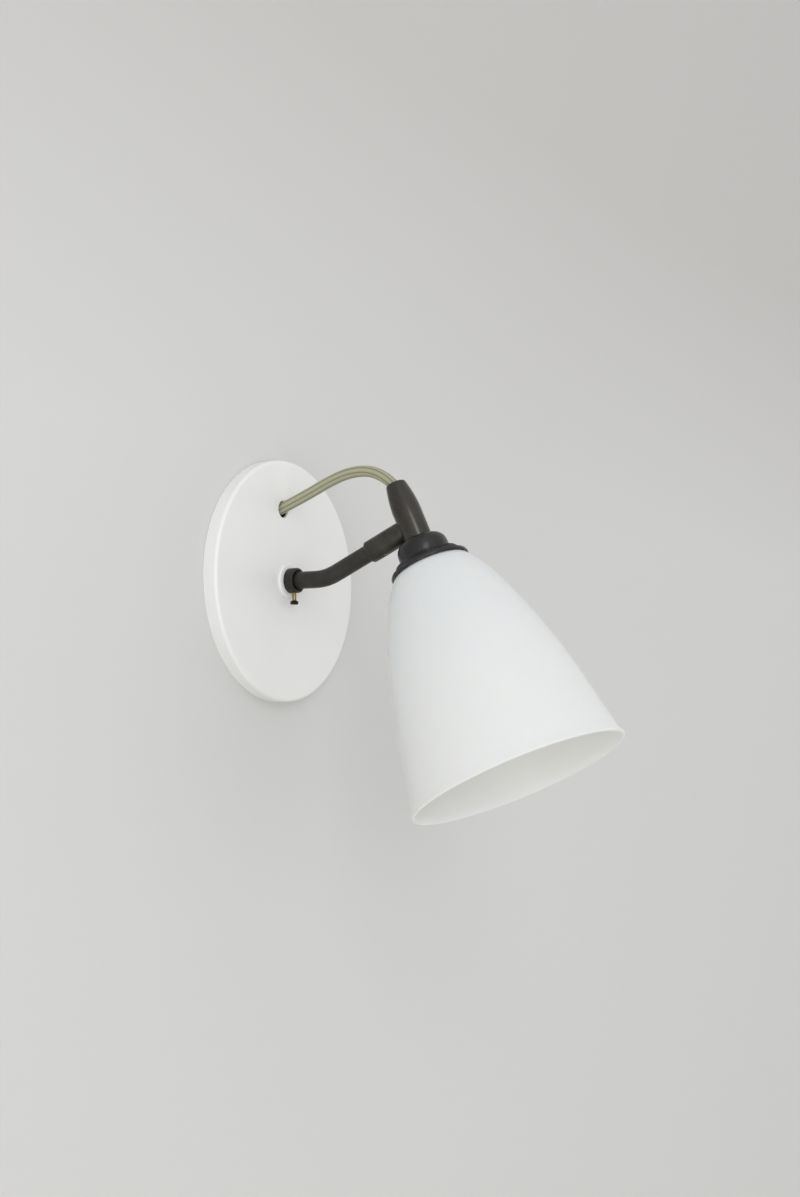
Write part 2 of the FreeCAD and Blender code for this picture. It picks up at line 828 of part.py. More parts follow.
def make_cord_stem():
    bore = nipple_bore
    seat = size("grip_seat_height")
    top = size("stem_top_height")
    edge = size("stem_edge_round")
    waist = (size("stem_waist_radius"), size("stem_taper_start"))
    shoulder = (size("stem_top_radius"), top - edge)
    body = turned("cord_stem", (
        (bore, nipple_end),
        (size("nipple_radius"), nipple_end),
        (size("nipple_radius"), stem_foot),
        (size("stem_foot_radius"), stem_foot),
        *banded(waist, shoulder, -STEM_TAPER_BULGE_SHARE, 3),
        shoulder,
        (size("stem_top_radius") - edge, top),
        (size("stem_mouth_radius"), top),
        (size("stem_counterbore_radius"), top - size("stem_mouth_flare")),
        (size("stem_counterbore_radius"), seat),
        (bore, seat),
    ))
    spigot_hole_radius = size("sleeve_spigot_radius") + size("joint_gap")
    holes = draw_circle(new_sketch(body, "XZ_Plane", "stem_side_circles"), ZERO, ZERO, spigot_hole_radius)
    draw_circle(holes, ZERO, size("grip_screw_height"), size("grip_screw_radius") + size("joint_gap"))
    pocket(body, holes, "stem_side_holes")
    return keep(body, HEAD)


def make_cord_grip():
    outer = size("stem_counterbore_radius") - size("grip_gap")
    inner = size("flex_radius") + size("grip_gap")
    base = size("grip_seat_height")
    top = base + size("grip_length")
    body = turned("cord_grip", ((inner, base), (outer, base), (outer, top), (inner, top)))
    return keep(body, HEAD)


def make_cord_grip_screw():
    """A small slotted screw through the stem's side, its Z axis towards the wall."""
    radius = size("grip_screw_radius")
    start = size("stem_counterbore_radius")
    end = size("grip_screw_end")
    slot = size("grip_screw_slot")
    body = turned("cord_grip_screw", (
        (ZERO, start), (radius, start), (radius, end - slot / 2.0),
        (radius - slot / 2.0, end), (ZERO, end),
    ))
    line = new_sketch(body, "XY_Plane", "grip_slot_line")
    lift(line, end)
    draw(line, box_steps(-(radius + slot), -slot / 2.0, radius + slot, slot / 2.0))
    pocket(body, line, "grip_slot", length=slot)
    place = Placement(
        Vector(0.0, 0.0, size("grip_screw_height").value), Rotation(Vector(1.0, 0.0, 0.0), -90.0)
    )
    return keep(body, HEAD.multiply(place))


def make_holder_cap():
    """A hollow bun, open below."""
    widest = stem_foot - size("cap_widest_drop")
    wall = size("cap_wall")
    hole = size("nipple_radius") + thread_gap
    outside_base = (size("cap_base_radius"), cap_base)
    outside_middle = (size("cap_widest_radius"), widest)
    outside_top = (size("cap_top_radius"), stem_foot)
    inside_top = (size("cap_top_radius") - wall / 2.0, stem_foot - wall)
    inside_middle = (size("cap_widest_radius") - wall, widest)
    inside_base = (size("cap_base_radius") - wall, cap_base)
    body = turned("holder_cap", (
        *banded(outside_base, outside_middle, -CAP_LOWER_BULGE_SHARE, 2),
        *banded(outside_middle, outside_top, -CAP_UPPER_BULGE_SHARE, 3),
        outside_top,
        (hole, stem_foot),
        (hole, stem_foot - wall),
        inside_top,
        inside_middle,
        inside_base,
    ))
    return keep(body, HEAD)


def make_milled_ring():
    body = turned("milled_ring", (
        (size("nipple_radius") + thread_gap, ring_base),
        (size("ring_radius"), ring_base),
        (size("ring_radius"), cap_base),
        (size("nipple_radius") + thread_gap, cap_base),
    ))
    half_notch = size("notch_width") / 2.0
    notch_ring(body, size("ring_radius"), size("notch_depth"), half_notch, size("notch_count"), cap_base,
               size("ring_thickness"), "milling")
    return keep(body, HEAD)


def make_shade_carrier():
    """A turned disc with a small step, a shallow dish and a lip that closes over the shade's shoulder."""
    step = size("carrier_step_radius")
    step_drop = size("carrier_step_drop")
    lip = size("carrier_lip_radius")
    lip_low = ring_base - size("carrier_lip_drop")
    lip_high = ring_base - size("carrier_lip_top_drop")
    lip_round = size("carrier_lip_round")
    wall = size("carrier_lip_wall")
    lip_side = (lip, lip_high - lip_round)
    lip_crest = (lip - lip_round, lip_high)
    step_foot = (step, ring_base - step_drop)
    body = turned("shade_carrier", (
        (size("nipple_radius") + thread_gap, carrier_base),
        (lip - wall - wall / 2.0, carrier_base),
        (lip - wall, carrier_base - wall / 2.0),
        (lip - wall, lip_low + wall / 4.0),
        (lip - wall * 0.75, lip_low),
        (lip - wall / 4.0, lip_low),
        (lip, lip_low + wall / 4.0),
        *banded(lip_side, lip_crest, -QUARTER_ROUND_SHARE, 2),
        *banded(lip_crest, step_foot, CARRIER_DISH_BULGE_SHARE, 2),
        step_foot,
        (step - step_drop, ring_base),
        (size("nipple_radius") + thread_gap, ring_base),
    ))
    return keep(body, HEAD)


def make_shade_gasket():
    inner = size("shade_hole_radius")
    outer = size("gasket_outer_radius")
    body = turned("shade_gasket", box_steps(inner, shade_top, outer, carrier_base))
    return keep(body, HEAD)


def make_shade():
    """The bell's outline is given as shares of its rim radius and height. It stands on its rim at Z zero."""
    radius = size("shade_rim_radius")
    height = size("shade_height")
    corners = []
    for radius_share, height_share, _, _ in SHADE_OUTLINE_SHARES:
        corners.append((radius * radius_share, height * height_share if height_share else ZERO))
    steps = [(ZERO, ZERO)]
    for corner, next_corner, (_, _, bulge_share, bands) in zip(corners, corners[1:], SHADE_OUTLINE_SHARES):
        steps.extend(banded(corner, next_corner, bulge_share, bands))
    steps.append(corners[-1])
    steps.append((ZERO, height))
    body = turned("shade", steps)
    hollow(body, size("shade_wall"), "shade_casting")
    hole_circle = new_sketch(body, "XY_Plane", "shade_hole_circle")
    hole = draw_circle(hole_circle, ZERO, ZERO, size("shade_hole_radius"))
    pocket(body, hole, "shade_hole", reverse=True)
    base = body.Tip
    rims = [
        f"Edge{place}" for place, edge in enumerate(base.Shape.Edges, start=1)
        if abs(edge.BoundBox.ZMax) < size("joint_gap").value
    ]
    easing = body.newObject("PartDesign::Chamfer", "rim_easing")
    easing.Base = (base, rims)
    easing.setExpression("Size", size("shade_rim_chamfer").text)
    doc.recompute()
    return keep(body, raised(HEAD, rim_height))


# Lampholder and bulb
holder_top = carrier_base
cavity_roof = holder_top - size("holder_roof")
contact_face = cavity_roof - size("contact_length")
bulb_top = contact_face - size("contact_gap")


def make_lampholder():
    low = holder_top - size("holder_length")
    mouth = low + size("holder_mouth_length")
    body = turned("lampholder", (
        (size("nipple_radius") + thread_gap, holder_top),
        (size("nipple_radius") + thread_gap, nipple_end - size("tube_end_gap")),
        (ZERO, nipple_end - size("tube_end_gap")),
        (ZERO, cavity_roof),
        (size("holder_cavity_radius"), cavity_roof),
        (size("holder_cavity_radius"), low),
        (size("holder_mouth_radius"), low),
        (size("holder_mouth_radius"), mouth - size("holder_radius") + size("holder_mouth_radius")),
        (size("holder_radius"), mouth),
        (size("holder_radius"), holder_top),
    ))
    return keep(body, HEAD)


def make_shade_ring():
    high = shade_top - size("shade_wall")
    low = high - size("shade_ring_thickness")
    end = high - size("shade_ring_barrel_length")
    inner = size("holder_radius") + thread_gap
    body = turned("shade_ring", (
        (inner, end), (size("shade_ring_barrel_radius"), end), (size("shade_ring_barrel_radius"), low),
        (size("shade_ring_flange_radius"), low), (size("shade_ring_flange_radius"), high), (inner, high),
    ))
    return keep(body, HEAD)


def make_screw_shell():
    outer = size("shell_radius")
    wall = size("shell_wall")
    low = cavity_roof - size("shell_length")
    body = turned("screw_shell", (
        (outer - wall, low), (outer, low), (outer, cavity_roof - wall),
        (size("shell_flange_radius"), cavity_roof - wall), (size("shell_flange_radius"), cavity_roof),
        (outer - wall, cavity_roof),
    ))
    return keep(body, HEAD)


def make_centre_contact():
    radius = size("contact_radius")
    body = turned("centre_contact", (
        (ZERO, contact_face), (radius, contact_face), (radius, cavity_roof), (ZERO, cavity_roof),
    ))
    return keep(body, HEAD)


def make_stem_flex():
    """The flex's straight run through the stem, from the grip's top to the lampholder."""
    radius = size("flex_radius")
    top = size("flex_inner_height") - size("joint_gap")
    body = turned("stem_flex", ((ZERO, nipple_end), (radius, nipple_end), (radius, top), (ZERO, top)))
    return keep(body, HEAD)


def make_bulb():
    """Four pieces from the top down: contact, insulator, cap and globe."""
    tip = size("bulb_tip_radius")
    tip_low = bulb_top - size("bulb_tip_length")
    cap_top = tip_low - size("bulb_insulator_length")
    cap_low = cap_top - size("bulb_cap_length")
    cap = size("bulb_cap_radius")
    wall = size("bulb_cap_wall")
    flat = size("bulb_insulator_radius")
    keep(turned("bulb_contact", (
        (ZERO, tip_low), (tip, tip_low), (tip, bulb_top), (ZERO, bulb_top),
    )), HEAD)
    keep(turned("bulb_insulator", (
        (ZERO, cap_top), (flat, cap_top), (tip + wall, tip_low), (ZERO, tip_low),
    )), HEAD)
    keep(turned("bulb_cap", (
        (cap - wall, cap_low), (cap, cap_low), (cap, cap_top - wall), (flat, cap_top), (ZERO, cap_top),
        (ZERO, cap_top - wall), (cap - wall, cap_top - wall * 2.0),
    )), HEAD)
    globe = size("bulb_radius")
    bottom = bulb_top - size("bulb_length")
    middle = bottom + globe
    neck = size("bulb_neck_radius")
    glass = size("bulb_glass_wall")
    inside = globe - glass
    neck_outside = cap - wall - size("joint_gap")
    neck_low = (neck, cap_low)
    neck_inside = (neck_outside - glass, cap_low - glass)

    def ball(radius, angles):
        places = [(math.cos(math.radians(angle)), math.sin(math.radians(angle))) for angle in angles]
        return [(radius * across, middle + radius * up) for across, up in places]

    outside_lower = ball(globe, BULB_LOWER_ANGLES)
    outside_upper = ball(globe, BULB_UPPER_ANGLES)
    inside_lower = ball(inside, BULB_LOWER_ANGLES)
    inside_upper = ball(inside, BULB_UPPER_ANGLES)
    body = turned("bulb_globe", (
        (ZERO, bottom),
        *outside_lower,
        (globe, middle),
        *outside_upper[:-1],
        *banded(outside_upper[-1], neck_low, BULB_NECK_BULGE_SHARE, 2),
        neck_low,
        (neck_outside, cap_low),
        (neck_outside, cap_low + glass * 2.0),
        (neck_outside - glass, cap_low + glass * 2.0),
        *banded(neck_inside, inside_upper[-1], -BULB_NECK_BULGE_SHARE, 2),
        *reversed(inside_upper),
        (inside, middle),
        *reversed(inside_lower),
        (ZERO, bottom + glass),
    ))
    keep(body, HEAD)


# Behind the plate: anchor, terminals and cores. Their frames face out of the wall, with Y up.
hole_left = -size("flex_hole_across")
hole_rise = size("flex_hole_rise")


def rounded_box_steps(middle, centre_up, half_width, half_height, edge):
    left, right = middle - half_width, middle + half_width
    low, high = centre_up - half_height, centre_up + half_height
    return (
        (left + edge, low), (right - edge, low, -QUARTER_ROUND_SHARE),
        (right, low + edge), (right, high - edge, -QUARTER_ROUND_SHARE),
        (right - edge, high), (left + edge, high, -QUARTER_ROUND_SHARE),
        (left, high - edge), (left, low + edge, -QUARTER_ROUND_SHARE),
    )


def make_flex_anchor():
    """A moulding behind the plate's hole, with a blind pocket that takes the flex's end at its own slant."""
    body = new_body("flex_anchor")
    half_width = size("anchor_width") / 2.0
    half_height = size("anchor_height") / 2.0
    outline = rounded_box_steps(hole_left, hole_rise, half_width, half_height, size("anchor_corner_round"))
    sketch = draw(new_sketch(body, "XY_Plane", "anchor_outline"), outline)
    lift(sketch, plate_inside - size("anchor_depth"))
    pad(body, sketch, size("anchor_depth"), "anchor_block")
    mouth_circle = new_sketch(body, "XY_Plane", "anchor_mouth")
    mouth = draw_circle(mouth_circle, hole_left, hole_rise, size("flex_hole_radius"))
    lift(mouth, plate_inside)
    pocket(body, mouth, "anchor_pocket", length=size("anchor_pocket_depth"))
    return keep(body, FROM_WALL)


def make_terminal_block():
    body = new_body("terminal_block")
    middle = size("block_across")
    half = size("block_width") / 2.0
    low = size("block_rise") - size("block_height") / 2.0
    high = low + size("block_height")
    outline = box_steps(middle - half, low, middle + half, high)
    sketch = draw(new_sketch(body, "XY_Plane", "block_outline"), outline)
    lift(sketch, plate_inside - size("block_depth"))
    pad(body, sketch, size("block_depth"), "block_moulding")
    ways = new_sketch(body, "XZ_Plane", "ways_circles")
    lift(ways, -high)
    screws = new_sketch(body, "XY_Plane", "screw_wells")
    lift(screws, plate_inside - size("block_depth"))
    for across in way_places():
        draw_circle(ways, across, size("core_depth"), size("way_radius"))
        draw_circle(screws, across, size("block_rise"), size("terminal_screw_radius") + thread_gap)
    pocket(body, ways, "ways", length=size("way_depth"), reverse=True)
    pocket(body, screws, "wells", length=size("terminal_screw_length"), reverse=True)
    return keep(body, FROM_WALL)


def way_places():
    half = size("way_spacing") / 2.0
    return (size("block_across") - half, size("block_across") + half)


def make_terminal_screws():
    screws = []
    base = plate_inside - size("block_depth")
    for name, across in zip(("live", "neutral"), way_places()):
        body = turned(name + "_screw", (
            (ZERO, ZERO),
            (size("terminal_screw_radius"), ZERO),
            (size("terminal_screw_radius"), size("terminal_screw_length")),
            (ZERO, size("terminal_screw_length")),
        ))
        body.Placement = FROM_WALL.multiply(
            Placement(Vector(across.value, size("block_rise").value, base.value), Rotation())
        )
        screws.append(body)
    group = doc.addObject("Part::Compound", "terminal_screws")
    group.Label = "terminal_screws"
    group.Links = screws
    doc.recompute()
    return keep(group)


def core_points(*places):
    """Turns places across and up, at the cores' depth from the wall, into points of the lamp."""
    return [(across.value, -size("core_depth").value, up.value) for across, up in places]


def make_cores():
    """Live and neutral run down from the anchor into the terminal block, and earth past it to the tag."""
    start = hole_rise - size("anchor_height") / 2.0
    spacing = size("core_spacing")
    block_top = size("block_rise") + size("block_height") / 2.0
    way_end = block_top - size("way_depth") + size("joint_gap")
    live_way, neutral_way = way_places()
    knee = (start + block_top) / 2.0
    lead = size("core_lead")
    live_start = hole_left
    neutral_start = hole_left + spacing
    earth_start = hole_left - spacing
    radius = size("core_radius").value
    keep(tube_through("live_core", core_points(
        (live_start, start), (live_start, knee + lead), (live_way, knee - lead), (live_way, way_end),
    ), radius, ARC_RUN_SHARE))
    keep(tube_through("neutral_core", core_points(
        (neutral_start, start),
        (neutral_start, knee + lead),
        (neutral_way, knee - lead),
        (neutral_way, way_end),
    ), radius, ARC_RUN_SHARE))
    tag_across = -size("earth_screw_across")
    tag_end = size("tag_radius") + size("tag_barrel_length")
    keep(tube_through("earth_core", core_points(
        (earth_start, start), (earth_start, start - lead * 3.0), (tag_across, tag_end + lead * 6.0),
        (tag_across, tag_end),
    ), radius, ARC_RUN_SHARE))


def make_earth_tag():
    """A ring tag under the earth screw's head, its barrel pointing up to the core."""
    body = new_body("earth_tag")
    across = -size("earth_screw_across")
    face = plate_inside - size("strap_thickness")
    sketch = draw_circle(new_sketch(body, "XY_Plane", "tag_ring"), across, ZERO, size("tag_radius"))
    draw_circle(sketch, across, ZERO, size("earth_screw_radius") + thread_gap)
    lift(sketch, face - size("tag_thickness"))
    pad(body, sketch, size("tag_thickness"), "tag_blank")
    barrel_circle = new_sketch(body, "XZ_Plane", "tag_barrel_circle")
    barrel = draw_circle(barrel_circle, across, size("core_depth"), size("tag_barrel_radius"))
    barrel_start = size("earth_head_radius") + thread_gap
    lift(barrel, -barrel_start)
    barrel_length = size("tag_radius") + size("tag_barrel_length") - barrel_start
    pad(body, barrel, barrel_length, "tag_barrel", reverse=True)
    return keep(body, FROM_WALL)


def make_earth_screw():
    """A pan-headed screw from behind the strap, its Z axis out of the wall."""
    face = plate_inside - size("strap_thickness") - size("tag_thickness")
    head = size("earth_head_radius")
    high = size("earth_head_height")
    edge = high / 2.0
    body = turned("earth_screw", (
        (ZERO, -high), (head - edge, -high), (head, edge - high), (head, ZERO),
        (size("earth_screw_radius"), ZERO),
        (size("earth_screw_radius"), size("tag_thickness") + size("strap_thickness") - thread_gap),
        (ZERO, size("tag_thickness") + size("strap_thickness") - thread_gap),
    ))
    return keep(body, FROM_WALL.multiply(
        Placement(Vector(-size("earth_screw_across").value, 0.0, face.value), Rotation())
    ))


make_wall_plate()
make_mounting_strap()
make_strap_nut()
make_collar_washer()
make_arm_socket()
make_thumb_screw()
make_arm_tube()
make_swivel_sleeve()
make_sleeve_grub_screw()
make_cord_stem()
make_cord_grip()
make_cord_grip_screw()
make_holder_cap()
make_milled_ring()
make_shade_carrier()
make_shade_gasket()
make_shade()
make_lampholder()
make_shade_ring()
make_screw_shell()
make_centre_contact()
make_stem_flex()
make_bulb()
make_flex_anchor()
make_terminal_block()
make_terminal_screws()
make_cores()
make_earth_tag()
make_earth_screw()
keep(tube_through("flex", FLEX_ROUTE, size("flex_radius").value, ARC_RUN_SHARE))
doc.recompute()

for item in doc.Objects:
    if "Invalid" in item.State or "Error" in item.State:
        raise ValueError(f"{item.Label} failed: {item.State}")
for item in NODES:
    if item.Shape.isNull() or not item.Shape.isValid() or not item.Shape.Solids:
        raise ValueError(f"{item.Label} has no valid solid")

os.makedirs("parts", exist_ok=True)
for item in NODES:
    item.Shape.exportStep(f"parts/{item.Label}.step")
    print(item.Label, "solids", len(item.Shape.Solids), "volume", round(item.Shape.Volume, 1))
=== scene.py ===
# %% [markdown]
# # A swivelling wall lamp, dressed piece by piece
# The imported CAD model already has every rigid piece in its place. This lesson loads it as a
# fixed frame, turns smooth versions of the pieces that catch the eye, threads the braided
# flex, and gives each piece the finish of the real one. All lengths are in metres, +Z is up,
# and the wall is the plane Y = 0 with the lamp reaching out along -Y.

import json
import math

import bmesh
import bpy
from mathutils import Matrix, Vector


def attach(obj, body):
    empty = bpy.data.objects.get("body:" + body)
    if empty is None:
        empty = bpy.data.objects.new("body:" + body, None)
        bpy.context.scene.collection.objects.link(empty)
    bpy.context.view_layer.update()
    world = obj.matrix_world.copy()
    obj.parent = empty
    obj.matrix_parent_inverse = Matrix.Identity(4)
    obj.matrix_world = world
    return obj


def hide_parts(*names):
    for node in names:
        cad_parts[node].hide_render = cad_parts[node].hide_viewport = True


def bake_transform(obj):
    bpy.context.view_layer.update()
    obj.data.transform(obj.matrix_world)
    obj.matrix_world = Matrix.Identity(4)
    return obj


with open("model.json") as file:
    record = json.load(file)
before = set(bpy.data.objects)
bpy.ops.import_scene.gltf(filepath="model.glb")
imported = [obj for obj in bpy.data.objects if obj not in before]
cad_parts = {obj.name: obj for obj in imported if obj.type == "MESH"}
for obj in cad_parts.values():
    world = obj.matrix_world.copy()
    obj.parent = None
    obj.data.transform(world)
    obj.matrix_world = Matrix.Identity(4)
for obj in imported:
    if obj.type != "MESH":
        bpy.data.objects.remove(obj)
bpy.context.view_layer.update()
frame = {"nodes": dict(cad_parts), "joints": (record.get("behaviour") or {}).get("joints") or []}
NODES = frame["nodes"]
MM = 0.001

# %% [markdown]
# ## Where the head sits
# The shade, its carrier and the stem are all turned about one tilted line. It crosses the
# sleeve's own line at the swivel, so the swivel joint of the record gives both the point and
# the tilt. Pieces are turned upright at the origin first and then placed with this transform.

# %% The head's own frame
swivel = next(joint for joint in frame["joints"] if joint["name"] == "head_swivel")
SWIVEL_POINT = Vector(swivel["pos_m"])
SLEEVE_LINE = Vector(swivel["axis"]).normalized()
HEAD_TILT = math.atan2(SLEEVE_LINE.z, -SLEEVE_LINE.y)
HEAD_PLACE = Matrix.Translation(SWIVEL_POINT) @ Matrix.Rotation(-HEAD_TILT, 4, "X")
WALL_PLACE = Matrix.Rotation(math.radians(90.0), 4, "X")
print("head tilt in degrees", round(math.degrees(HEAD_TILT), 2))

# %% [markdown]
# ## Camera
# The photograph was taken from the lamp's left, a little below it, with a short telephoto
# lens. The numbers come from fitting the plate's circle, the arm and the shade's rim together.

# %% Camera
CAMERA_PLACE = Vector((-0.8830, -0.6093, -0.0887))
CAMERA_YAW = math.radians(59.25)
CAMERA_PITCH = math.radians(4.21)
SENSOR_LONG_SIDE = 36.0
LENS = 55.49

camera_data = bpy.data.cameras.new("camera")
camera_data.sensor_width = SENSOR_LONG_SIDE
camera_data.lens = LENS
camera = bpy.data.objects.new("camera", camera_data)
bpy.context.scene.collection.objects.link(camera)
looking = Vector((
    math.sin(CAMERA_YAW) * math.cos(CAMERA_PITCH),
    math.cos(CAMERA_YAW) * math.cos(CAMERA_PITCH),
    math.sin(CAMERA_PITCH),
))
camera.location = CAMERA_PLACE
camera.rotation_euler = looking.to_track_quat("-Z", "Y").to_euler()
bpy.context.scene.camera = camera
bpy.context.scene.view_settings.view_transform = "Standard"
print("camera looks along", [round(part, 3) for part in looking])

# %% [markdown]
# ## Small helpers for working as by hand
# Blender's operators act on whatever is selected. The frame leaves its nodes selected, so each
# piece starts from an empty selection. A finished piece keeps its place in its mesh, with its
# object at the origin, because that is what the export and the patterns expect.

# %% Selection and placing
def select_nothing():
    if bpy.context.mode != "OBJECT":
        bpy.ops.object.mode_set(mode="OBJECT")
    bpy.ops.object.select_all(action="DESELECT")


def select_only(piece):
    select_nothing()
    piece.select_set(True)
    bpy.context.view_layer.objects.active = piece


def put_in_place(piece, place):
    """Moves a piece made at the origin to its place and bakes that into its mesh."""
    select_only(piece)
    piece.matrix_world = place
    bpy.ops.object.transform_apply(location=True, rotation=True, scale=True)


def finish_modifiers(piece):
    select_only(piece)
    for modifier in list(piece.modifiers):
        bpy.ops.object.modifier_apply(modifier=modifier.name)


def smooth_by_angle(piece, degrees=35.0):
    select_only(piece)
    bpy.ops.object.shade_smooth_by_angle(angle=math.radians(degrees))


# %% [markdown]
# ## Turning on the lathe
# Most of this lamp is turned or cast round, so one helper serves many pieces. It starts with a
# circle, as one would by hand, and extrudes it ring by ring, resizing each new ring to the next
# radius. The outline is a list of stations from one end to the other. A bow between two
# stations is drawn as a few extra rings on an arc, as the CAD outline has them.

# %% Lathe helpers
QUARTER_ROUND = (math.sqrt(2.0) - 1.0) / 2.0
POINTS_PER_NOTCH = 4
MERGE_DISTANCE = 0.005 * MM
STRAIGHT = 1e-6


def bow(start, finish, bulge, rings):
    """Stations on an arc from start to finish. bulge is the arc's height over its chord."""
    if abs(bulge) < STRAIGHT:
        return [finish]
    chord = Vector((finish[0] - start[0], finish[1] - start[1]))
    aside = Vector((-chord.y, chord.x))
    half_turn = 2.0 * math.atan(2.0 * bulge)
    radius_share = 0.5 / math.sin(half_turn)
    middle = Vector(start) + chord / 2.0 - aside * radius_share * math.cos(half_turn)
    spoke = Vector(start) - middle
    stations = []
    for ring in range(1, rings + 1):
        angle = -2.0 * half_turn * ring / rings
        turned_spoke = Vector((
            spoke.x * math.cos(angle) - spoke.y * math.sin(angle),
            spoke.x * math.sin(angle) + spoke.y * math.cos(angle),
        ))
        stations.append(tuple(middle + turned_spoke))
    return stations


def outline(*steps):
    """Turns (radius, height[, bulge, rings]) steps into plain stations, all in millimetres."""
    stations = [tuple(steps[0][:2])]
    bend = steps[0][2:]
    for step in steps[1:]:
        if bend:
            stations.extend(bow(stations[-1], step[:2], *bend))
        else:
            stations.append(tuple(step[:2]))
        bend = step[2:]
    return stations


def turn_on_lathe(name, stations, around=96, closed=False):
    """Extrudes a circle through the stations; a closed outline ends on its own first ring."""
    select_nothing()
    radius, height = stations[0]
    bpy.ops.mesh.primitive_circle_add(
        vertices=around, radius=radius * MM, location=(0.0, 0.0, height * MM), fill_type="NOTHING"
    )
    piece = bpy.context.object
    piece.name = name
    piece.data.name = name
    bpy.ops.object.transform_apply(location=True, rotation=True, scale=True)
    bpy.ops.object.mode_set(mode="EDIT")
    bpy.ops.mesh.select_all(action="SELECT")
    path = stations[1:] + (stations[:1] if closed else [])
    for next_radius, next_height in path:
        bpy.ops.mesh.extrude_edges_move(
            TRANSFORM_OT_translate={"value": (0.0, 0.0, (next_height - height) * MM)}
        )
        share = next_radius / radius
        bpy.ops.transform.resize(
            value=(share, share, 1.0), center_override=(0.0, 0.0, next_height * MM)
        )
        radius, height = next_radius, next_height
    bpy.ops.mesh.select_all(action="SELECT")
    bpy.ops.mesh.remove_doubles(threshold=MERGE_DISTANCE)
    bpy.ops.mesh.normals_make_consistent(inside=False)
    bpy.ops.object.mode_set(mode="OBJECT")
    return piece


def pick_notches(piece, count, least_reach):
    """Picks every fourth point round the piece that lies beyond least_reach from its axis."""
    surface = bmesh.from_edit_mesh(piece.data)
    picked = 0
    for vertex in surface.verts:
        around = math.atan2(vertex.co.y, vertex.co.x) / (2.0 * math.pi) * count * POINTS_PER_NOTCH
        reach = math.hypot(vertex.co.x, vertex.co.y)
        if reach > least_reach and round(around) % POINTS_PER_NOTCH == 0:
            vertex.select = True
            picked += 1
    bmesh.update_edit_mesh(piece.data)
    print("points drawn in", picked)


def close_ends(piece):
    """Caps the open rings of a turned skin that is one closed body, like blown glass."""
    select_only(piece)
    bpy.ops.object.mode_set(mode="EDIT")
    bpy.ops.mesh.select_all(action="SELECT")
    bpy.ops.mesh.fill_holes(sides=0)
    bpy.ops.mesh.select_all(action="SELECT")
    bpy.ops.mesh.normals_make_consistent(inside=False)
    bpy.ops.object.mode_set(mode="OBJECT")


def thin_towards_foot(piece, share, rise):
    """A vertex group that thins the wall to a share of itself at the lowest ring."""
    thinned = piece.vertex_groups.new(name="wall share")
    foot = min(vertex.co.z for vertex in piece.data.vertices)
    for vertex in piece.data.vertices:
        climb = min((vertex.co.z - foot) / (rise * MM), 1.0)
        thinned.add([vertex.index], share + (1.0 - share) * climb, "REPLACE")
    return thinned


def give_wall(piece, thickness, thinned=None):
    """Gives a turned skin its wall, inwards from the skin, whichever way its normals look.

    thinned is a vertex group that makes the wall thinner where its weights are low.
    """
    before = max(piece.dimensions)
    wall = piece.modifiers.new("wall", "SOLIDIFY")
    wall.thickness = thickness * MM
    wall.offset = -1.0
    wall.use_even_offset = True
    if thinned:
        wall.vertex_group = thinned.name
    bpy.context.view_layer.update()
    if max(piece.dimensions) > before + thickness * MM / 4.0:
        wall.offset = 1.0
    finish_modifiers(piece)


def soften_edges(piece, width, segments=3, degrees=40.0):
    edge = piece.modifiers.new("softened_edges", "BEVEL")
    edge.width = width * MM
    edge.segments = segments
    edge.limit_method = "ANGLE"
    edge.angle_limit = math.radians(degrees)
    finish_modifiers(piece)


def report_piece(piece):
    size = [round(side / MM, 1) for side in piece.dimensions]
    print(piece.name, "faces", len(piece.data.polygons), "size in mm", size)


# %% [markdown]
# ## The bell shade
# The real shade is slip-cast china: a wall that thins towards a plain rounded lip, and a
# shoulder that turns in under the metal carrier. A solid of revolution is the honest way to
# make it. The outline is the CAD one, drawn with enough rings that no facets show in the gloss.

# %% Shade
SHADE_TOP = -25.7
SHADE_HEIGHT = 127.9
SHADE_RIM_RADIUS = 61.65
SHADE_WALL = 2.4
SHADE_LIP = 1.5
SHADE_LIP_RISE = 45.0
SHADE_HOLE_RADIUS = 14.6
SHADE_SHARES = (
    (1.0, 0.0, 0.035, 5),
    (0.969, 0.0428, 0.004, 6),
    (0.880, 0.2732, -0.013, 10),
    (0.752, 0.5475, -0.018, 14),
    (0.522, 0.8605, -0.035, 10),
    (0.360, 0.9883, -0.129, 6),
    (0.3114, 1.0),
)
shade_steps = [
    (SHADE_RIM_RADIUS * radius, SHADE_TOP - SHADE_HEIGHT * (1.0 - rise), *bend)
    for radius, rise, *bend in SHADE_SHARES
]
shade = turn_on_lathe(
    "shade_glazed", outline(*shade_steps, (SHADE_HOLE_RADIUS, SHADE_TOP)), around=128
)
lip_share = thin_towards_foot(shade, SHADE_LIP / SHADE_WALL, SHADE_LIP_RISE)
give_wall(shade, SHADE_WALL, lip_share)
shade.vertex_groups.clear()
soften_edges(shade, 0.4, segments=3, degrees=60.0)
put_in_place(shade, HEAD_PLACE)
smooth_by_angle(shade, 50.0)
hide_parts("shade")
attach(shade, "head")
report_piece(shade)

# %% [markdown]
# ## The wall plate
# A round dish, pressed from sheet and enamelled white: a flat face, a tight radius, and a
# short straight rim against the wall. It is turned as a skin and given its sheet thickness,
# and then the flex hole is punched with a cutter, off to one side as on the real plate.

# %% Wall plate
PLATE_RADIUS = 70.0
PLATE_DEPTH = 8.5
PLATE_EDGE = 2.0
PLATE_WALL = 1.5
SPIGOT_HOLE_RADIUS = 6.1
FLEX_HOLE = (-5.2, 41.2)
FLEX_HOLE_RADIUS = 4.9

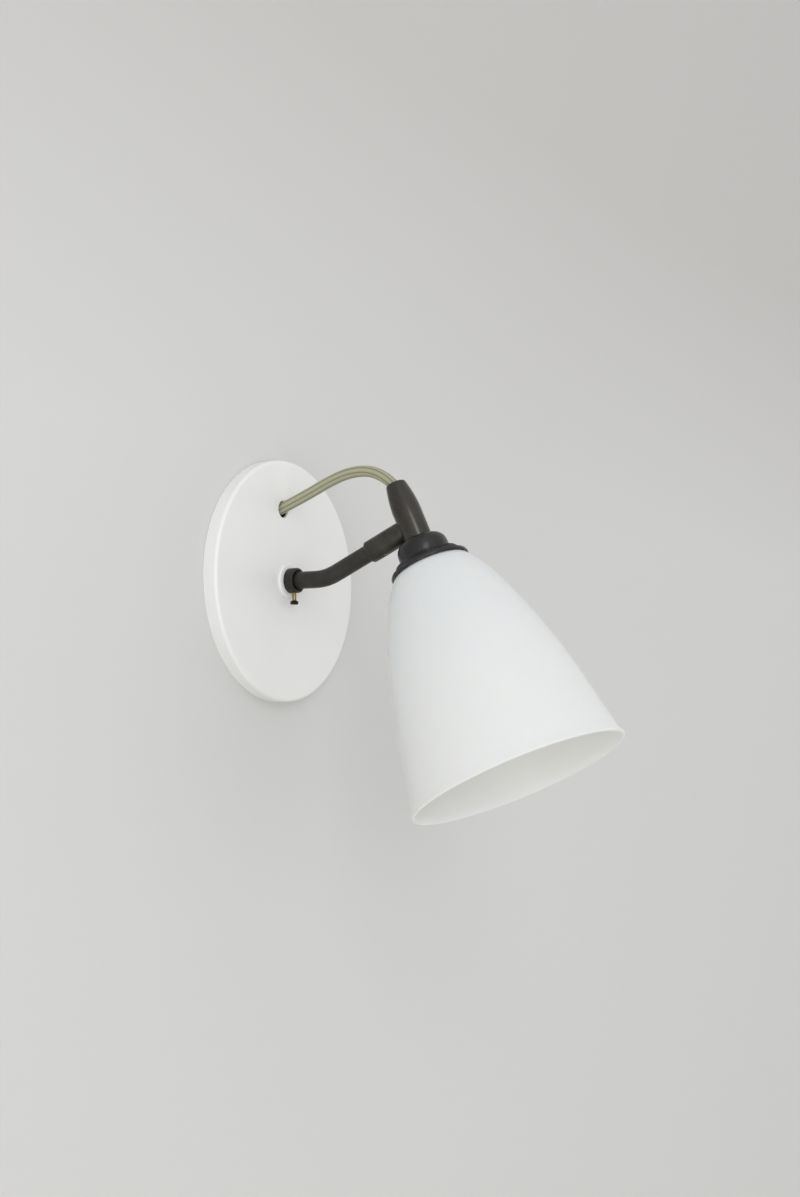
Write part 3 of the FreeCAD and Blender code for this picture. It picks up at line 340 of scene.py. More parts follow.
plate_skin = outline(
    (PLATE_RADIUS, 0.0),
    (PLATE_RADIUS, PLATE_DEPTH - PLATE_EDGE, -QUARTER_ROUND, 6),
    (PLATE_RADIUS - PLATE_EDGE, PLATE_DEPTH),
    (PLATE_RADIUS - 2.0 * PLATE_EDGE, PLATE_DEPTH),
    (SPIGOT_HOLE_RADIUS, PLATE_DEPTH),
)
plate = turn_on_lathe("wall_plate_enamelled", plate_skin, around=160)
give_wall(plate, PLATE_WALL)
put_in_place(plate, WALL_PLACE)

select_nothing()
bpy.ops.mesh.primitive_cylinder_add(
    vertices=64, radius=FLEX_HOLE_RADIUS * MM, depth=4.0 * PLATE_DEPTH * MM,
    location=(FLEX_HOLE[0] * MM, 0.0, FLEX_HOLE[1] * MM), rotation=(math.radians(90.0), 0.0, 0.0),
)
punch = bpy.context.object
hole = plate.modifiers.new("flex_hole", "BOOLEAN")
hole.operation = "DIFFERENCE"
hole.object = punch
hole.solver = "EXACT"
finish_modifiers(plate)
bpy.data.objects.remove(punch)
soften_edges(plate, 0.25, segments=2, degrees=60.0)
smooth_by_angle(plate, 40.0)
flat_faces_lead = plate.modifiers.new("flat_faces_lead", "WEIGHTED_NORMAL")
flat_faces_lead.weight = 80
flat_faces_lead.keep_sharp = True
finish_modifiers(plate)
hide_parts("wall_plate")
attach(plate, "base")
report_piece(plate)

# %% [markdown]
# ## Collar, washer and thumb screw
# The arm is held in a short collar on the plate, over a pale washer. The collar's mouth is
# countersunk, which gives the dark line round the tube. The knurled thumb screw under it has a
# slim neck that flares into its head, and its knurl is every fourth rim point drawn inwards.

# %% Washer and collar
WASHER_TOP = PLATE_DEPTH + 1.5
WASHER_RADIUS = 10.2
WASHER_ROUND = 0.7
COLLAR_FRONT = WASHER_TOP + 5.8
COLLAR_RADIUS = 7.25
COLLAR_ROUND = 0.6
COLLAR_FOOT_ROUND = 0.3
SPIGOT_RADIUS = 6.0
SPIGOT_FOOT = 1.2
SPIGOT_FLOOR = 2.4
WIRE_HOLE_RADIUS = 3.2
ARM_BORE_RADIUS = 5.1
washer = turn_on_lathe("washer_pale", outline(
    (SPIGOT_HOLE_RADIUS, PLATE_DEPTH),
    (WASHER_RADIUS - 0.1, PLATE_DEPTH),
    (WASHER_RADIUS, PLATE_DEPTH + 0.1),
    (WASHER_RADIUS, WASHER_TOP - WASHER_ROUND, -QUARTER_ROUND, 5),
    (WASHER_RADIUS - WASHER_ROUND, WASHER_TOP),
    (SPIGOT_HOLE_RADIUS, WASHER_TOP),
), around=96, closed=True)
collar = turn_on_lathe("collar_bronzed", outline(
    (WIRE_HOLE_RADIUS, SPIGOT_FOOT),
    (SPIGOT_RADIUS - 0.6, SPIGOT_FOOT),
    (SPIGOT_RADIUS, SPIGOT_FOOT + 0.6),
    (SPIGOT_RADIUS, WASHER_TOP),
    (COLLAR_RADIUS - COLLAR_FOOT_ROUND, WASHER_TOP, -QUARTER_ROUND, 3),
    (COLLAR_RADIUS, WASHER_TOP + COLLAR_FOOT_ROUND),
    (COLLAR_RADIUS, COLLAR_FRONT - COLLAR_ROUND, -QUARTER_ROUND, 5),
    (COLLAR_RADIUS - COLLAR_ROUND, COLLAR_FRONT),
    (ARM_BORE_RADIUS + 1.0, COLLAR_FRONT),
    (ARM_BORE_RADIUS + 0.8, COLLAR_FRONT - 0.2),
    (ARM_BORE_RADIUS + 0.6, COLLAR_FRONT - 1.4),
    (ARM_BORE_RADIUS, COLLAR_FRONT - 1.6),
    (ARM_BORE_RADIUS, SPIGOT_FLOOR),
    (WIRE_HOLE_RADIUS, SPIGOT_FLOOR),
), around=96, closed=True)
for piece, node, slot_name in (
    (washer, "collar_washer", "white_enamel"), (collar, "arm_socket", "bronzed_metal"),
):
    put_in_place(piece, WALL_PLACE)
    smooth_by_angle(piece, 40.0)
    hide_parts(node)
    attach(piece, "base")
    report_piece(piece)

# %% Thumb screw
THUMB_PLACE = WASHER_TOP + 2.9
THUMB_TIP = 4.75
THUMB_NECK_RADIUS = 1.2
THUMB_HEAD_START = 11.9
THUMB_HEAD_RADIUS = 2.3
THUMB_HEAD_ROUND = 0.4
THUMB_END = THUMB_HEAD_START + 2.0
THUMB_CORE = 0.5
KNURL_COUNT = 14
KNURL_SHARE = 0.89
END_TOLERANCE = 0.05 * MM
thumb = turn_on_lathe("thumb_turned", outline(
    (THUMB_CORE, THUMB_TIP),
    (THUMB_NECK_RADIUS - 0.3, THUMB_TIP),
    (THUMB_NECK_RADIUS, THUMB_TIP + 0.3),
    (THUMB_NECK_RADIUS, THUMB_HEAD_START - 1.0, 0.12, 4),
    (THUMB_NECK_RADIUS + 0.5, THUMB_HEAD_START),
    (THUMB_HEAD_RADIUS - THUMB_HEAD_ROUND, THUMB_HEAD_START, -QUARTER_ROUND, 3),
    (THUMB_HEAD_RADIUS, THUMB_HEAD_START + THUMB_HEAD_ROUND),
    (THUMB_HEAD_RADIUS, THUMB_END - THUMB_HEAD_ROUND, -QUARTER_ROUND, 3),
    (THUMB_HEAD_RADIUS - THUMB_HEAD_ROUND, THUMB_END),
    (THUMB_CORE, THUMB_END),
), around=KNURL_COUNT * POINTS_PER_NOTCH)
select_only(thumb)
bpy.ops.object.mode_set(mode="EDIT")
for end in (THUMB_TIP, THUMB_END):
    bpy.ops.mesh.select_all(action="DESELECT")
    surface = bmesh.from_edit_mesh(thumb.data)
    for edge in surface.edges:
        if edge.is_boundary and abs(edge.verts[0].co.z - end * MM) < END_TOLERANCE:
            edge.select = True
    bmesh.update_edit_mesh(thumb.data)
    bpy.ops.mesh.edge_face_add()
bpy.ops.mesh.select_all(action="DESELECT")
pick_notches(thumb, KNURL_COUNT, (THUMB_HEAD_RADIUS - 0.1) * MM)
bpy.ops.transform.resize(value=(KNURL_SHARE, KNURL_SHARE, 1.0), center_override=(0.0, 0.0, 0.0))
bpy.ops.mesh.select_all(action="SELECT")
bpy.ops.mesh.normals_make_consistent(inside=False)
bpy.ops.object.mode_set(mode="OBJECT")
upside_down = Matrix.Rotation(math.radians(180.0), 4, "X")
put_in_place(thumb, Matrix.Translation((0.0, -THUMB_PLACE * MM, 0.0)) @ upside_down)
smooth_by_angle(thumb, 30.0)
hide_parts("thumb_screw")
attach(thumb, "thumb_screw")
report_piece(thumb)

# %% [markdown]
# ## The stem
# The tapered stem swells a little towards its foot and stands on the bun. Its open top takes
# the flex, so the outline goes over the lip and down the bore to the seat of the cord grip.

# %% Stem
STEM_FOOT = -9.0
STEM_FOOT_RADIUS = 7.95
STEM_TAPER_START = 8.0
STEM_WIDEST = 8.15
STEM_TOP = 26.8
STEM_TOP_RADIUS = 5.8
STEM_ROUND = 0.4
STEM_BORE_RADIUS = 4.8
STEM_FLARE = 4.0
GRIP_SEAT = 5.0
FLEX_WAY_RADIUS = 3.6
stem = turn_on_lathe("stem_bronzed", outline(
    (FLEX_WAY_RADIUS, STEM_FOOT),
    (STEM_FOOT_RADIUS - STEM_ROUND, STEM_FOOT, -QUARTER_ROUND, 3),
    (STEM_FOOT_RADIUS, STEM_FOOT + STEM_ROUND),
    (STEM_WIDEST, STEM_TAPER_START, -0.032, 10),
    (STEM_TOP_RADIUS, STEM_TOP - STEM_ROUND, -QUARTER_ROUND, 4),
    (STEM_TOP_RADIUS - STEM_ROUND, STEM_TOP),
    (STEM_TOP_RADIUS - 0.55, STEM_TOP - 0.1),
    (STEM_BORE_RADIUS, STEM_TOP - STEM_FLARE),
    (STEM_BORE_RADIUS, GRIP_SEAT),
    (FLEX_WAY_RADIUS, GRIP_SEAT),
), around=72, closed=True)
put_in_place(stem, HEAD_PLACE)
smooth_by_angle(stem, 40.0)
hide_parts("cord_stem")
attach(stem, "head")
report_piece(stem)

# %% [markdown]
# ## The bun and the carrier
# Under the stem sits a spun bun, widest near its middle. Below it a milled ring locks a turned
# carrier: a stepped ring, a shallow dish, and a lip that curls over the shade's shoulder and
# catches a thin line of light.

# %% Bun
CAP_BASE = -20.5
CAP_WALL = 1.4
CAP_MIDDLE = STEM_FOOT - 5.6
CAP_TOP_RADIUS = 10.8
CAP_WIDEST = 14.6
CAP_BASE_RADIUS = 14.0
CAP_ROUND = 0.25
CAP_LOWER_BULGE = 0.058
CAP_UPPER_BULGE = 0.155
NIPPLE_HOLE_RADIUS = 5.1
bun = turn_on_lathe("bun_bronzed", outline(
    (CAP_BASE_RADIUS - CAP_WALL, CAP_BASE),
    (CAP_BASE_RADIUS - CAP_ROUND, CAP_BASE, -QUARTER_ROUND, 2),
    (CAP_BASE_RADIUS, CAP_BASE + CAP_ROUND, -CAP_LOWER_BULGE, 6),
    (CAP_WIDEST, CAP_MIDDLE, -CAP_UPPER_BULGE, 12),
    (CAP_TOP_RADIUS, STEM_FOOT),
    (NIPPLE_HOLE_RADIUS, STEM_FOOT),
    (NIPPLE_HOLE_RADIUS, STEM_FOOT - CAP_WALL),
    (CAP_TOP_RADIUS - CAP_WALL / 2.0, STEM_FOOT - CAP_WALL, CAP_UPPER_BULGE, 8),
    (CAP_WIDEST - CAP_WALL, CAP_MIDDLE, CAP_LOWER_BULGE, 5),
), around=96, closed=True)
put_in_place(bun, HEAD_PLACE)
smooth_by_angle(bun, 35.0)
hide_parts("holder_cap")
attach(bun, "head")
report_piece(bun)

# %% Carrier
RING_BASE = -22.6
CARRIER_BASE = -24.9
LIP_RADIUS = 22.8
LIP_WALL = 0.9
LIP_HIGH = RING_BASE - 1.2
LIP_LOW = RING_BASE - 3.8
LIP_ROUND = 0.8
BEAD_DEPTH = 0.4
BEAD_LOW = LIP_LOW + 0.15
BEAD_HIGH = LIP_LOW + 1.65
STEP_RADIUS = 19.6
STEP_ROUND = 0.6
LIP_INSIDE = LIP_RADIUS - LIP_WALL
LIP_OUTSIDE = LIP_RADIUS - BEAD_DEPTH
carrier = turn_on_lathe("carrier_bronzed", outline(
    (NIPPLE_HOLE_RADIUS, CARRIER_BASE),
    (LIP_RADIUS - 1.5 * LIP_WALL, CARRIER_BASE),
    (LIP_INSIDE, CARRIER_BASE - LIP_WALL / 2.0),
    (LIP_INSIDE, LIP_LOW + 0.3, -QUARTER_ROUND, 3),
    (LIP_INSIDE + 0.3, LIP_LOW),
    (LIP_OUTSIDE, BEAD_LOW, -0.28, 8),
    (LIP_OUTSIDE, BEAD_HIGH),
    (LIP_OUTSIDE, LIP_HIGH - LIP_ROUND, -QUARTER_ROUND, 5),
    (LIP_OUTSIDE - LIP_ROUND, LIP_HIGH, 0.08, 4),
    (STEP_RADIUS, RING_BASE - STEP_ROUND, -QUARTER_ROUND, 5),
    (STEP_RADIUS - STEP_ROUND, RING_BASE),
    (NIPPLE_HOLE_RADIUS, RING_BASE),
), around=112, closed=True)
put_in_place(carrier, HEAD_PLACE)
smooth_by_angle(carrier, 40.0)
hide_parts("shade_carrier")
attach(carrier, "head")
report_piece(carrier)

# %% [markdown]
# ## The milled ring
# Ninety notches run round the ring that locks the carrier, and they catch the light as a row of
# ticks. One way to mill them by hand: extrude the rim with four points for each notch, pick
# every fourth one and draw it in towards the middle.

# %% Milled ring
NOTCH_COUNT = 90
NOTCH_DEPTH = 0.35
MILLED_RADIUS = 18.5
MILLED_HOLE_RADIUS = 14.0
MILLED_BEVEL = 0.3
milled = turn_on_lathe("ring_milled", outline(
    (MILLED_HOLE_RADIUS, RING_BASE),
    (MILLED_RADIUS - MILLED_BEVEL, RING_BASE),
    (MILLED_RADIUS, RING_BASE + MILLED_BEVEL),
    (MILLED_RADIUS, CAP_BASE - MILLED_BEVEL),
    (MILLED_RADIUS - MILLED_BEVEL, CAP_BASE),
    (MILLED_HOLE_RADIUS, CAP_BASE),
), around=NOTCH_COUNT * POINTS_PER_NOTCH, closed=True)
select_only(milled)
bpy.ops.object.mode_set(mode="EDIT")
bpy.ops.mesh.select_all(action="DESELECT")
pick_notches(milled, NOTCH_COUNT, (MILLED_RADIUS - 0.4) * MM)
inward = 1.0 - NOTCH_DEPTH / MILLED_RADIUS
bpy.ops.transform.resize(value=(inward, inward, 1.0), center_override=(0.0, 0.0, 0.0))
bpy.ops.object.mode_set(mode="OBJECT")
put_in_place(milled, HEAD_PLACE)
smooth_by_angle(milled, 20.0)
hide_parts("milled_ring")
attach(milled, "head")
report_piece(milled)

# %% [markdown]
# ## The bulb
# A small golf-ball bulb hangs inside the shade, a round ball that runs up into a short neck. The
# neck ends inside the screw cap, so the glass is turned as one skin from its lowest point up.

# %% Bulb globe
GLOBE_CENTRE = -84.2
GLOBE_RADIUS = 22.5
BULB_CAP_LOW = -58.5
BULB_NECK_RADIUS = 7.4
IN_CAP_RADIUS = 6.35
IN_CAP_LENGTH = 1.6
NECK_SHARES = (0.62, 0.785)
globe = turn_on_lathe("bulb_opal", outline(
    (0.4, GLOBE_CENTRE - GLOBE_RADIUS),
    (3.0, GLOBE_CENTRE - GLOBE_RADIUS + 0.2, -0.19, 16),
    (GLOBE_RADIUS, GLOBE_CENTRE, -0.115, 10),
    (GLOBE_RADIUS * NECK_SHARES[0], GLOBE_CENTRE + GLOBE_RADIUS * NECK_SHARES[1], 0.10, 8),
    (BULB_NECK_RADIUS, BULB_CAP_LOW),
    (IN_CAP_RADIUS, BULB_CAP_LOW),
    (IN_CAP_RADIUS, BULB_CAP_LOW + IN_CAP_LENGTH),
), around=64)
close_ends(globe)
put_in_place(globe, HEAD_PLACE)
smooth_by_angle(globe, 40.0)
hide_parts("bulb_globe")
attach(globe, "bulb")
report_piece(globe)

# %% [markdown]
# ## The flex
# The flex is three cores in a cotton braid, 6.5 mm thick and limp. It leaves the anchor behind
# the plate, comes out through the hole, goes over the arm in one easy arch and drops into the
# stem. Its route is the one the CAD tube follows, as one smooth spline. The tube is swept along
# points read from that spline, and its section has soft lengthwise ribs of laid-in yarn.

# %% Route of the flex
FLEX_ROUTE = (
    (-5.2, -5.2, 40.9),
    (-4.5, -15.0, 44.9),
    (-3.7, -27.0, 50.0),
    (-2.9, -38.5, 55.4),
    (-2.2, -49.0, 59.2),
    (-1.5, -58.5, 60.5),
    (-1.0, -66.5, 59.6),
    (-0.5, -73.5, 56.3),
    (-0.1, -79.1, 51.9),
    (0.0, -83.25, 46.64),
    (0.0, -86.1, 40.57),
)


def read_spline(name, places):
    """Points along a smooth spline whose control points are the places, in metres."""
    line = bpy.data.curves.new(name, "CURVE")
    line.dimensions = "3D"
    line.resolution_u = 16
    spline = line.splines.new("NURBS")
    spline.points.add(len(places) - 1)
    for point, place in zip(spline.points, places):
        point.co = (*(part * MM for part in place), 1.0)
    spline.order_u = 3
    spline.use_endpoint_u = True
    holder = bpy.data.objects.new(name, line)
    bpy.context.scene.collection.objects.link(holder)
    bpy.context.view_layer.update()
    read = bpy.data.meshes.new_from_object(holder)
    points = [vertex.co.copy() for vertex in read.vertices]
    bpy.data.objects.remove(holder)
    bpy.data.meshes.remove(read)
    return points


def length_along(points):
    return sum((b - a).length for a, b in zip(points, points[1:]))


flex_points = read_spline("flex_route", FLEX_ROUTE)
flex_length = length_along(flex_points)
print("flex points", len(flex_points), "length in mm", round(flex_length / MM, 2))

# %% Sweeping a ridged tube
FLEX_RADIUS = 3.25 * MM
RIDGES = 7
RIDGE_HEIGHT = 0.07
SECTION_SIDES = 56


def sweep_tube(name, points, start_length, radius, sides):
    """A tube round the points, with a UV map that runs round it and along it in real length."""
    mesh = bpy.data.meshes.new(name)
    build = bmesh.new()
    uv = build.loops.layers.uv.new("UVMap")
    side = (points[1] - points[0]).orthogonal().normalized()
    rings, travel, along = [], start_length, []
    for place, point in enumerate(points):
        nearby = points[min(place + 1, len(points) - 1)] - points[max(place - 1, 0)]
        heading = nearby.normalized()
        side = (side - heading * side.dot(heading)).normalized()
        over = heading.cross(side)
        ring = []
        for step in range(sides):
            angle = 2.0 * math.pi * step / sides
            ridge = RIDGE_HEIGHT * abs(math.cos(RIDGES * angle / 2.0))
            reach = radius * (1.0 - RIDGE_HEIGHT + ridge)
            spoke = side * math.cos(angle) + over * math.sin(angle)
            ring.append(build.verts.new(point + spoke * reach))
        if place:
            travel += (point - points[place - 1]).length
        rings.append(ring)
        along.append(travel)
    for place in range(len(rings) - 1):
        for step in range(sides):
            corners = (
                (place, step), (place, step + 1), (place + 1, step + 1), (place + 1, step),
            )
            face = build.faces.new([rings[row][column % sides] for row, column in corners])
            face.smooth = True
            for loop, (row, column) in zip(face.loops, corners):
                loop[uv].uv = (column / sides, along[row])
    build.normal_update()
    build.to_mesh(mesh)
    build.free()
    piece = bpy.data.objects.new(name, mesh)
    bpy.context.scene.collection.objects.link(piece)
    return piece, along[-1]


# %% [markdown]
# The flex crosses two joints: the arm turns in its collar and the head turns on the arm. One
# piece can bend across one joint only, so the flex is made as two lengths. Where they meet,
# both simply follow the arm. The first runs from the plate to the arm, the second from the arm
# to the head. The head swings the flex further, so its length is the longer one.

# %% Two lengths of flex
LOWER_SHARE = 0.42
meeting_place = min(
    range(len(flex_points)),
    key=lambda place: abs(length_along(flex_points[:place + 1]) - flex_length * LOWER_SHARE),
)
lower_points = flex_points[:meeting_place + 1]
upper_points = flex_points[meeting_place:]
lower_flex, lower_end = sweep_tube("flex_lower", lower_points, 0.0, FLEX_RADIUS, SECTION_SIDES)
upper_flex, upper_end = sweep_tube(
    "flex_upper", upper_points, lower_end, FLEX_RADIUS, SECTION_SIDES
)
print("lower", round(lower_end / MM, 2), "upper", round((upper_end - lower_end) / MM, 2))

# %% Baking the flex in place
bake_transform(lower_flex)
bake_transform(upper_flex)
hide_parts("flex")

# %% [markdown]
# ## Finishes
# Nothing real is one flat colour. Each effect that several finishes share is a node group,
# built once with named sockets, and each material sets its own values. Numbers that are the
# same all over a surface stay on the shader's own sockets.

# %% Helpers for node groups
def new_group(name, inputs, outputs):
    group = bpy.data.node_groups.new(name, "ShaderNodeTree")
    for label, kind, value in inputs:
        socket = group.interface.new_socket(name=label, in_out="INPUT", socket_type=kind)
        socket.default_value = value
    for label, kind in outputs:
        group.interface.new_socket(name=label, in_out="OUTPUT", socket_type=kind)
    return group, group.nodes.new("NodeGroupInput"), group.nodes.new("NodeGroupOutput")


def add(tree, kind, **settings):
    node = tree.nodes.new(kind)
    for key, value in settings.items():
        setattr(node, key, value)
    return node


def remap(tree, source, low, high, to_low, to_high):
    node = add(tree, "ShaderNodeMapRange")
    tree.links.new(source, node.inputs["Value"])
    ends = {"From Min": low, "From Max": high, "To Min": to_low, "To Max": to_high}
    for label, value in ends.items():
        if hasattr(value, "links"):
            tree.links.new(value, node.inputs[label])
        else:
            node.inputs[label].default_value = value
    return node.outputs["Result"]


def mix_colours(tree, factor, first, second):
    node = add(tree, "ShaderNodeMix", data_type="RGBA")
    tree.links.new(factor, node.inputs[0])
    tree.links.new(first, node.inputs[6])
    tree.links.new(second, node.inputs[7])
    return node.outputs[2]


def plain_colour(tree, colour):
    node = add(tree, "ShaderNodeRGB")
    node.outputs[0].default_value = colour
    return node.outputs[0]


def work_out(tree, operation, *amounts):
    node = add(tree, "ShaderNodeMath", operation=operation)
    for socket, amount in zip(node.inputs, amounts):
        if hasattr(amount, "links"):
            tree.links.new(amount, socket)
        else:
            socket.default_value = amount
    return node.outputs[0]


# %% [markdown]
# ### Uneven finish
# Paint, glaze and patina all drift a little in colour and gloss over a few centimetres, and
# have a fine grain under the fingers. This group gives all three from two noise patterns.

# %% Group: uneven finish
uneven, taken, given = new_group("uneven_finish", (
    ("Vector", "NodeSocketVector", (0.0, 0.0, 0.0)),
    ("Colour", "NodeSocketColor", (0.8, 0.8, 0.8, 1.0)),
    ("Second Colour", "NodeSocketColor", (0.7, 0.7, 0.7, 1.0)),
    ("Patch Scale", "NodeSocketFloat", 30.0),
    ("Grain Scale", "NodeSocketFloat", 900.0),
    ("Gloss Low", "NodeSocketFloat", 0.3),
    ("Gloss High", "NodeSocketFloat", 0.4),
), (("Colour", "NodeSocketColor"), ("Roughness", "NodeSocketFloat"), ("Height", "NodeSocketFloat")))
patches = add(uneven, "ShaderNodeTexNoise")
patches.inputs["Detail"].default_value = 4.0
grain = add(uneven, "ShaderNodeTexNoise")
grain.inputs["Detail"].default_value = 2.0
uneven.links.new(taken.outputs["Vector"], patches.inputs["Vector"])
uneven.links.new(taken.outputs["Vector"], grain.inputs["Vector"])
uneven.links.new(taken.outputs["Patch Scale"], patches.inputs["Scale"])
uneven.links.new(taken.outputs["Grain Scale"], grain.inputs["Scale"])
patch_share = remap(uneven, patches.outputs[0], 0.35, 0.65, 0.0, 1.0)
uneven.links.new(
    mix_colours(uneven, patch_share, taken.outputs["Colour"], taken.outputs["Second Colour"]),
    given.inputs["Colour"],
)
gloss = remap(
    uneven, patches.outputs[0], 0.3, 0.7, taken.outputs["Gloss Low"], taken.outputs["Gloss High"]
)
uneven.links.new(gloss, given.inputs["Roughness"])
uneven.links.new(grain.outputs[0], given.inputs["Height"])

# %% [markdown]
# ### Lathe lines
# Turned metal keeps faint rings from the tool. They lie square to the piece's own line, so a
# Mapping node in each material first turns the pattern to that line.

# %% Group: lathe lines
lathe_lines, taken, given = new_group("lathe_lines", (
    ("Vector", "NodeSocketVector", (0.0, 0.0, 0.0)),
    ("Scale", "NodeSocketFloat", 900.0),
    ("Base Height", "NodeSocketFloat", 0.5),
    ("Share", "NodeSocketFloat", 0.5),
), (("Height", "NodeSocketFloat"),))
rings_wave = add(lathe_lines, "ShaderNodeTexWave", wave_type="BANDS", bands_direction="Z")
rings_wave.inputs["Distortion"].default_value = 1.5
rings_wave.inputs["Detail"].default_value = 2.0
lathe_lines.links.new(taken.outputs["Vector"], rings_wave.inputs["Vector"])
lathe_lines.links.new(taken.outputs["Scale"], rings_wave.inputs["Scale"])
ring_part = work_out(lathe_lines, "MULTIPLY", rings_wave.outputs[1], taken.outputs["Share"])
lathe_lines.links.new(
    work_out(lathe_lines, "ADD", ring_part, taken.outputs["Base Height"]), given.inputs["Height"]
)

# %% [markdown]
# ### Cotton braid
# A braid is two sets of yarns wound opposite ways, each passing over and under the other. Two
# slanted sine patterns on the tube's own UV map give the crossings: their product says which
# yarn shows, and the higher of the two gives the relief.

# %% Group: cotton braid
braid, taken, given = new_group("cotton_braid", (
    ("Vector", "NodeSocketVector", (0.0, 0.0, 0.0)),
    ("Yarns Around", "NodeSocketFloat", 12.0),
    ("Yarns Per Metre", "NodeSocketFloat", 600.0),
), (("Yarn", "NodeSocketFloat"), ("Height", "NodeSocketFloat")))
parts = add(braid, "ShaderNodeSeparateXYZ")
braid.links.new(taken.outputs["Vector"], parts.inputs[0])
across = work_out(braid, "MULTIPLY", parts.outputs[0], taken.outputs["Yarns Around"])
lengthwise = work_out(braid, "MULTIPLY", parts.outputs[1], taken.outputs["Yarns Per Metre"])


def slanted(direction):
    turns = work_out(braid, "MULTIPLY_ADD", lengthwise, direction, across)
    angle = work_out(braid, "MULTIPLY", turns, 2.0 * math.pi)
    return work_out(braid, "SINE", angle)


one_way, other_way = slanted(1.0), slanted(-1.0)
weave = work_out(braid, "MULTIPLY", one_way, other_way)
crossing = work_out(braid, "MULTIPLY_ADD", weave, 0.5, 0.5)
ridge = work_out(braid, "MAXIMUM", one_way, other_way)
height = work_out(braid, "MULTIPLY_ADD", ridge, 0.5, 0.5)
braid.links.new(crossing, given.inputs["Yarn"])
braid.links.new(height, given.inputs["Height"])

# %% [markdown]
# ### Putting a material together
# Every finish here is the same short chain: object coordinates, a Mapping node that turns the
# pattern to the piece, the shared groups, and one Principled shader with its own fixed values.

# %% Material builder
BUMP_DISTANCE = 0.05 * MM


def new_material(name, **fixed):
    """An empty material with one Principled shader whose named sockets are set to fixed values."""
    material = bpy.data.materials.new(name)
    material.use_nodes = True
    tree = material.node_tree
    shader = tree.nodes["Principled BSDF"]
    for label, value in fixed.items():
        shader.inputs[label.replace("_", " ")].default_value = value
    return material, tree, shader


def set_inputs(node, **values):
    for label, value in values.items():
        node.inputs[label.replace("_", " ")].default_value = value


def bump(tree, shader, height, strength, distance=BUMP_DISTANCE):
    node = add(tree, "ShaderNodeBump")
    node.inputs["Strength"].default_value = strength
    node.inputs["Distance"].default_value = distance
    tree.links.new(height, node.inputs["Height"])
    tree.links.new(node.outputs["Normal"], shader.inputs["Normal"])


def uneven_material(
    name, colour, second, gloss_low, gloss_high, patch_scale=30.0, grain_scale=900.0, grain=0.1,
    lines=0.0, line_scale=900.0, turn=(0.0, 0.0, 0.0), **fixed
):
    """A finish that drifts between two colours and two roughnesses, with grain and tool lines."""
    material, tree, shader = new_material(name, **fixed)
    places = add(tree, "ShaderNodeTexCoord")
    mapping = add(tree, "ShaderNodeMapping")
    mapping.inputs["Rotation"].default_value = turn
    tree.links.new(places.outputs["Object"], mapping.inputs["Vector"])
    finish = add(tree, "ShaderNodeGroup", node_tree=uneven)
    tree.links.new(mapping.outputs["Vector"], finish.inputs["Vector"])
    finish.inputs["Colour"].default_value = (*colour, 1.0)
    finish.inputs["Second Colour"].default_value = (*second, 1.0)
    set_inputs(
        finish, Patch_Scale=patch_scale, Grain_Scale=grain_scale,
        Gloss_Low=gloss_low, Gloss_High=gloss_high,
    )
    tree.links.new(finish.outputs["Colour"], shader.inputs["Base Color"])
    tree.links.new(finish.outputs["Roughness"], shader.inputs["Roughness"])
    height = finish.outputs["Height"]
    if lines:
        turned_lines = add(tree, "ShaderNodeGroup", node_tree=lathe_lines)
        tree.links.new(mapping.outputs["Vector"], turned_lines.inputs["Vector"])
        tree.links.new(height, turned_lines.inputs["Base Height"])
        set_inputs(turned_lines, Scale=line_scale, Share=lines)
        height = turned_lines.outputs["Height"]
    bump(tree, shader, height, grain)
    return material


# %% [markdown]
# ### The lamp's own finishes
# The bronzed parts are brass darkened to near black, with a soft sheen. The plate is stoved
# enamel. The shade is glazed china thin enough to let some light through, which warms its
# inside. The flex is a sage and straw cotton braid.

# %% Metals
HEAD_LINES = (HEAD_TILT, 0.0, 0.0)
ALONG_Y = (math.radians(90.0), 0.0, 0.0)
ALONG_SLEEVE = (HEAD_TILT + math.radians(90.0), 0.0, 0.0)
bronze_stem = uneven_material(
    "bronzed_turned", (0.066, 0.062, 0.055), (0.052, 0.047, 0.042), 0.20, 0.30, patch_scale=90.0,
    grain=0.05, lines=0.35, line_scale=700.0, turn=HEAD_LINES, Metallic=0.8, Specular_IOR_Level=0.5,
)
bronze_spun = uneven_material(
    "bronzed_spun", (0.046, 0.046, 0.046), (0.034, 0.034, 0.035), 0.25, 0.34, patch_scale=90.0,
    grain=0.04, lines=0.30, line_scale=700.0, turn=HEAD_LINES, Metallic=0.75,
    Specular_IOR_Level=0.5,
)
bronze_arm = uneven_material(
    "bronzed_tube", (0.052, 0.050, 0.046), (0.038, 0.037, 0.033), 0.38, 0.54, patch_scale=110.0,
    grain=0.12, turn=ALONG_Y, Metallic=0.75, Specular_IOR_Level=0.5,
)
bronze_sleeve = uneven_material(
    "bronzed_sleeve", (0.066, 0.060, 0.050), (0.044, 0.044, 0.034), 0.32, 0.50, patch_scale=130.0,
    grain=0.12, turn=ALONG_SLEEVE, Metallic=0.75, Specular_IOR_Level=0.5,
)
brass = uneven_material(
    "turned_brass", (0.48, 0.36, 0.13), (0.36, 0.25, 0.09), 0.22, 0.38, patch_scale=200.0,
    grain=0.12, lines=0.4, line_scale=1600.0, Metallic=1.0,
)
plated = uneven_material(
    "zinc_plated_steel", (0.56, 0.56, 0.54), (0.46, 0.46, 0.44), 0.30, 0.46, patch_scale=80.0,
    grain=0.15, Metallic=1.0,
)
aluminium = uneven_material(
    "bulb_cap_metal", (0.70, 0.70, 0.69), (0.60, 0.60, 0.58), 0.25, 0.40, patch_scale=150.0,
    grain=0.10, lines=0.3, turn=HEAD_LINES, Metallic=1.0,
)

